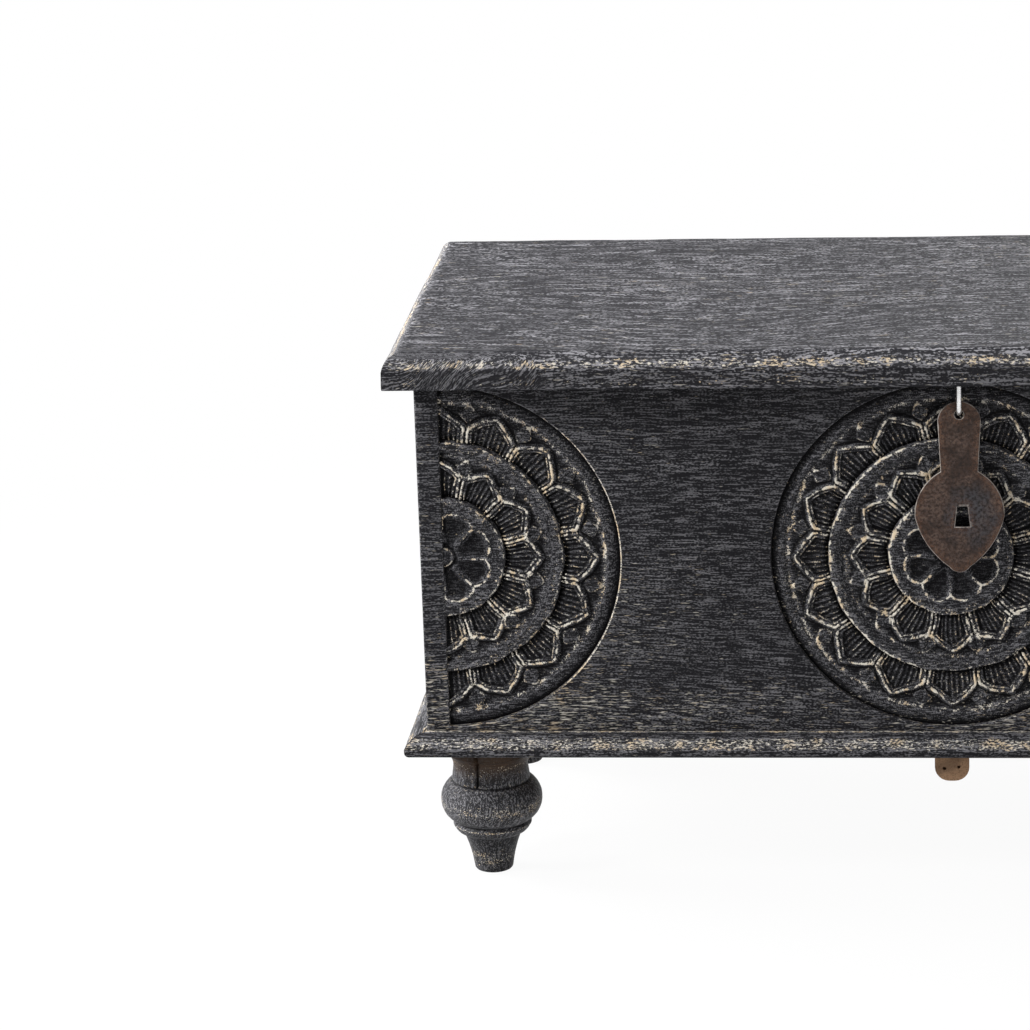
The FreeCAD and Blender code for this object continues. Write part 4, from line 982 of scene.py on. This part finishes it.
class CHEST_OT_lid(bpy.types.Operator):
    """Lid blank with round worn edges, sawn into its three planks"""
    bl_idname = "chest.lid"
    bl_label = "Lid"

    def execute(self, context):
        size = context.scene.chest_sizes
        low, high = Vector(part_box(LID_PLANKS[0])[0]), Vector(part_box(LID_PLANKS[2])[1])
        blank = block("lid_blank", low, high)
        round_edges(blank, lambda e: all(v.co.z > high.z - NEAR for v in e.verts), size.lid_round, 7)
        round_edges(blank, lambda e: all(v.co.z < low.z + NEAR and v.co.y < high.y - NEAR for v in e.verts),
                    size.lid_lower_round, 3)
        slices(blank, 0, low.x, high.x, 110)
        slices(blank, 1, low.y, high.y, 46)
        _, normal = spots(blank)
        top = ease(-0.15, 0.25, normal[:, 2])
        lean = np.clip(2 * np.clip(normal[:, 2], 0, 1) * np.hypot(normal[:, 0], normal[:, 1]), 0, 1)
        wear_down(blank, "broad_wear", size.lid_wear, 0.11, top)
        wear_down(blank, "edge_wear", size.lid_wear * 1.3, 0.022, ease(0.25, 0.8, lean))
        _, normal = spots(blank)
        level = np.hypot(normal[:, 0], normal[:, 1])
        slope = np.degrees(np.arctan2(normal[:, 2], level))
        ends = ease(0.4, 0.8, np.abs(normal[:, 0]) / np.maximum(level, 0.01))
        # paint on the rounds: partly wear, partly painted light, the front round paled for the top light and
        # the end rounds for the side light
        mark(blank, "worn", 0.84 * hill(slope - 30, 25) * (1 - ends) + 0.88 * hill(slope - 48, 26) * ends
             + hill(slope + 15, 11))
        # painted shade: the lid's upright faces darker than its top
        mark(blank, "painted_shade", 0.55 * hill(slope + 2, 20))
        first, second = ((0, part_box(name)[1].y, 0) for name in LID_PLANKS[:2])
        front = twin(blank, "lid_front")
        slice_at(front, first, (0, 1, 0), keep="back")
        middle = twin(blank, "lid_middle")
        slice_at(middle, first, (0, 1, 0), keep="front")
        slice_at(middle, second, (0, 1, 0), keep="back")
        back = settle("lid_back", blank)
        slice_at(back, second, (0, 1, 0), keep="front")
        leaves = [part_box(name) for name in ("left_hinge_lid_leaf", "right_hinge_lid_leaf")]
        carve(back, *[block("recess", (a.x, a.y, low.z - PAST), (b.x, b.y + 0.02, b.z)) for a, b in leaves])
        shifts = ((0.13, 0, 0), (0.71, 0.05, 0.1), (0.37, 0.1, 0.2))
        for piece, node, shift in zip((front, middle, back), LID_PLANKS, shifts):
            # lift 1.6 paints top light and sheen into all of the lid's colour: painted light
            wood = black_wood(
                "black_wood_" + node, shift=shift, swirl=0.07, rings=7.0, bump=0.6, lift=1.6, gloss=0.012,
                curl=0.9 * (piece == front), stretch=(0.8, 0.52, 0.85), carved=True, streak=0.8)
            hand_over(piece, wood, node, body="lid", angle=35)
        return {"FINISHED"}


class CHEST_OT_mouldings(bpy.types.Operator):
    """Base moulding along the front and both ends, mitred at the front corners"""
    bl_idname = "chest.mouldings"
    bl_label = "Base mouldings"

    def execute(self, context):
        low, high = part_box("front_base_moulding")
        corner = Vector((high.x, low.y, 0))
        run = self.run("front_moulding", (low.x, FRONT, low.z), (0, -1, 0), high.x - low.x, (1, 0, 0))
        slice_at(run, corner, (-1, -1, 0), keep="front")
        slice_at(run, (low.x, low.y, 0), (1, -1, 0), keep="front")
        slices(run, 0, low.x, high.x, 110)
        wood = black_wood("black_wood_moulding", shift=(0.2, 0.5, 0.1), edges=0.98)
        self.finish(run, "front_base_moulding", wood)
        low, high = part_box("right_base_moulding")
        run = self.run("right_moulding", (FRONT_HIGH.x, low.y, low.z), (1, 0, 0), high.y - low.y, (0, 1, 0))
        slice_at(run, corner, (1, 1, 0), keep="front")
        slices(run, 1, low.y, high.y, 48)
        other = twin(run, "left_moulding", Matrix.Scale(-1, 4, (1, 0, 0)))
        edit(other, "FACE")
        face_outwards(other)
        wood = black_wood(
            "black_wood_end_moulding", turn=(0, 0, QUARTER), shift=(0.3, 0.2, 0.6), edges=0.85,
            stretch=(1, 0.45, 1))
        self.finish(run, "right_base_moulding", wood)
        self.finish(other, "left_base_moulding", wood)
        return {"FINISHED"}

    def run(self, name, start, outward, distance, along):
        """The nose profile drawn on a ring of points and extruded along one face."""
        bpy.ops.mesh.primitive_circle_add(vertices=len(NOSE), radius=0.01, fill_type="NGON")
        piece = settle(name)
        start, outward = Vector(start), Vector(outward)
        for spot, (reach, rise) in zip(piece.data.vertices, NOSE):
            spot.co = start + outward * reach / MM + Vector((0, 0, rise / MM))
        edit(piece, "FACE")
        bpy.ops.mesh.extrude_region_move(TRANSFORM_OT_translate={"value": Vector(along) * distance})
        return face_outwards(piece)

    def finish(self, piece, node, wood):
        place, normal = spots(piece)
        rise = (place[:, 2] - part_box(node)[0].z) * MM
        out = np.hypot(normal[:, 0], normal[:, 1])
        wear_down(piece, "nose_wear", 0.0013, 0.02, ease(2.0, 5.0, rise) * ease(0.25, 0.7, out))
        nose = ease(6.0, 10.0, rise) * (1 - ease(17.5, 20.0, rise))
        mark(piece, "worn", 0.86 * nose + ease(20.5, 20.9, rise))
        mark(piece, "bare", 0.6 * (1 - ease(0.2, 1.6, rise)) * ease(-0.30, 0.1, place[:, 0]))
        hand_over(piece, wood, node, angle=38)


class CHEST_OT_feet(bpy.types.Operator):
    """One turned foot, drawn up ring by ring from its sole, and three copies"""
    bl_idname = "chest.feet"
    bl_label = "Turned feet"

    def execute(self, context):
        middle = self.middle(FEET[0])
        bpy.ops.mesh.primitive_circle_add(
            vertices=120, radius=FOOT[0][0] / MM, fill_type="NGON", location=(middle.x, middle.y, 0))
        foot = settle("front_left_turned_foot")
        edit(foot, "FACE")
        for (wide, level), (next_wide, next_level) in zip(FOOT, FOOT[1:]):
            rise, share = (next_level - level) / MM, next_wide / wide
            bpy.ops.mesh.extrude_region_move(TRANSFORM_OT_translate={"value": (0, 0, rise)})
            axis = (middle.x, middle.y, next_level / MM)
            bpy.ops.transform.resize(value=(share, share, 1), center_override=axis)
        face_outwards(foot)
        place, _ = spots(foot)
        level = place[:, 2] * MM
        mark(foot, "worn", sum(share * hill(level - at, reach) for share, at, reach in FOOT_WEAR))
        mark(foot, "bare", 0.26 * ease(94, 112, level))
        # painted shade: in the two grooves, on the neck under the moulding and on the lower cone
        mark(foot, "painted_shade", 0.9 * hill(level - 89, 0.9) + 0.5 * hill(level - 49.6, 1.0)
             + 0.85 * ease(96, 108, level) + 0.45 * (1 - ease(30, 42, level)))
        wood = black_wood(
            "black_wood_feet", turn=(0, QUARTER, 0), shift=(0.1, 0.3, 0.2), swirl=0.12, rings=12.0, edges=1.1,
            gloss=0.08, carved=True, stretch=(1, 1, 2.5))
        copies = [foot]
        for name in FEET[1:]:
            other = self.middle(name)
            turn = (Matrix.Translation((other.x, other.y, 0)) @ Matrix.Rotation(len(copies) * 1.3, 4, "Z")
                    @ Matrix.Translation((-middle.x, -middle.y, 0)))
            copies.append(twin(foot, name.replace("foot", "turned_foot"), turn))
        self.crack(foot, middle)
        for piece, node in zip(copies, FEET):
            hand_over(piece, wood, node)
        return {"FINISHED"}

    def middle(self, name):
        low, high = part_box(name)
        return (low + high) / 2

    def crack(self, foot, middle):
        """A straight drying crack down the neck: one row of points pushed in, with painted shade along it."""
        place, _ = spots(foot)
        across = MM * (place[:, 0] - middle.x + 0.117 * (place[:, 1] - middle.y))
        level = place[:, 2] * MM
        row = (np.abs(across + 12.9) < 1.1) & (place[:, 1] < middle.y) & (level > 89.5) & (level < 130.5)
        for axis in (0, 1):
            place[row, axis] = middle[axis] + (place[row, axis] - middle[axis]) * 0.88
        move_spots(foot, place)
        # painted shade: the crack's row of points is marked near black
        mark(foot, "painted_shade", np.where(row, 1, marked(foot, "painted_shade")))


class CHEST_OT_floor_batten(bpy.types.Operator):
    """Raw batten under the floor with a round underside and two old nail holes, and the raw wood inside"""
    bl_idname = "chest.floor_batten"
    bl_label = "Floor batten"

    def execute(self, context):
        low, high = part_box("floor_batten")
        piece = block("raw_batten", low, high)
        radius = context.scene.chest_sizes.batten_round
        round_edges(piece, lambda e: all(v.co.z < low.z + NEAR for v in e.verts)
                    and abs(e.verts[0].co.y - e.verts[1].co.y) > 0.1, radius, 6)
        soften(piece, 0.0008, angle=60)
        for x, z in ((-0.007, low.z + 0.012), (0.006, low.z + 0.0135)):
            carve(piece, rod("hole", 0.0016, (x, low.y - 0.002, z), (x, low.y + 0.006, z), sides=20))
        # lift 1.5 makes the batten, which sits in shade under the floor, paler than the other raw wood:
        # painted light
        wood = bare_wood("bare_wood_batten", turn=(0, 0, QUARTER), lift=1.5)
        hand_over(piece, wood, "floor_batten")
        finish_nodes(bare_wood("bare_wood_floor", shift=(0.3, 0.2, 0.1), swirl=0.04),
                     "front_floor_plank", "middle_floor_plank", "back_floor_plank")
        finish_nodes(bare_wood("bare_wood_cleats", turn=(0, 0, QUARTER), shift=(0.5, 0.1, 0.4)),
                     "left_lid_cleat", "right_lid_cleat")
        return {"FINISHED"}


class CHEST_OT_hasp(bpy.types.Operator):
    """Sheet iron hasp with a soft rubbed edge and a hand cut slot"""
    bl_idname = "chest.hasp"
    bl_label = "Hasp"

    def execute(self, context):
        low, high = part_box("hasp_plate")
        plate = twin(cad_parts["hasp_plate"], "rusted_hasp")
        plate.parent = None
        plate.matrix_world = Matrix.Identity(4)
        for key in list(plate.keys()):
            del plate[key]
        edit(plate, "VERT")
        bpy.ops.mesh.remove_doubles(threshold=0.00002)
        bpy.ops.mesh.dissolve_limited(angle_limit=math.radians(1))
        close(plate)
        soften(plate, context.scene.chest_sizes.plate_edge, angle=40)
        slices(plate, 0, low.x, high.x, 26)
        slices(plate, 2, low.z, high.z, 52)
        place, normal = spots(plate)
        lean = np.abs(normal[:, 1])
        outline = place[lean < 0.97]
        gap = np.array([np.min(np.hypot(outline[:, 0] - x, outline[:, 2] - z)) for x, _, z in place])
        # bevel faces marked for pale rubbed metal: partly wear, partly a painted edge highlight
        mark(plate, "worn", np.where((lean > 0.3) & (lean < 0.97), 1.0, 0.25 * (lean <= 0.3)))
        mark(plate, "rim", 1 - ease(0.001, 0.009, gap))
        wear_down(plate, "hammering", 0.0007, 0.012, ease(0.002, 0.006, gap))
        metal = rusted_plate(((low.x + high.x) / 2 + 0.012, 0, 0.358))
        hand_over(plate, metal, "hasp_plate", body="hasp", angle=50)
        finish_nodes(bright_wire(), "hasp_staple", "left_handle_staples", "right_handle_staples")
        return {"FINISHED"}


class CHEST_OT_ironwork(bpy.types.Operator):
    """Finish of the hinges, screws, nails and handles"""
    bl_idname = "chest.ironwork"
    bl_label = "Ironwork"

    def execute(self, context):
        iron = old_iron()
        for pair in ("hinge_rail_leaf", "hinge_lid_leaf", "hinge_pin", "handle_bail"):
            finish_nodes(iron, "left_" + pair, "right_" + pair)
        finish_nodes(
            iron, "rail_screws", "rail_leaf_screws", "lid_leaf_screws", "lid_cleat_screws", "floor_nails",
            "floor_batten_nails")
        return {"FINISHED"}


class CHEST_PT_panel(bpy.types.Panel):
    """Lists the pieces of the chest in the order they are built"""
    bl_idname = "CHEST_PT_panel"
    bl_label = "Carved chest"
    bl_space_type = "VIEW_3D"
    bl_region_type = "UI"
    bl_category = "Chest"

    def draw(self, context):
        for piece in OPERATORS:
            self.layout.operator(piece.bl_idname)
        for group in (context.scene.chest_sizes, context.scene.chest_colours):
            box = self.layout.box()
            for name in group.__annotations__:
                box.prop(group, name)


OPERATORS = (
    CHEST_OT_finishes, CHEST_OT_stage, CHEST_OT_carved_front, CHEST_OT_boards, CHEST_OT_lid,
    CHEST_OT_mouldings, CHEST_OT_feet, CHEST_OT_floor_batten, CHEST_OT_hasp, CHEST_OT_ironwork,
)
CLASSES = (ChestSizes, ChestColours, *OPERATORS, CHEST_PT_panel)


def register():
    for item in CLASSES:
        bpy.utils.register_class(item)
    bpy.types.Scene.chest_sizes = bpy.props.PointerProperty(type=ChestSizes)
    bpy.types.Scene.chest_colours = bpy.props.PointerProperty(type=ChestColours)


def unregister():
    del bpy.types.Scene.chest_sizes
    del bpy.types.Scene.chest_colours
    for item in reversed(CLASSES):
        bpy.utils.unregister_class(item)


def main():
    register()
    bpy.ops.chest.finishes()
    bpy.ops.chest.stage()
    bpy.ops.chest.carved_front()
    bpy.ops.chest.boards()
    bpy.ops.chest.lid()
    bpy.ops.chest.mouldings()
    bpy.ops.chest.feet()
    bpy.ops.chest.floor_batten()
    bpy.ops.chest.hasp()
    bpy.ops.chest.ironwork()


if __name__ == "__main__":
    main()
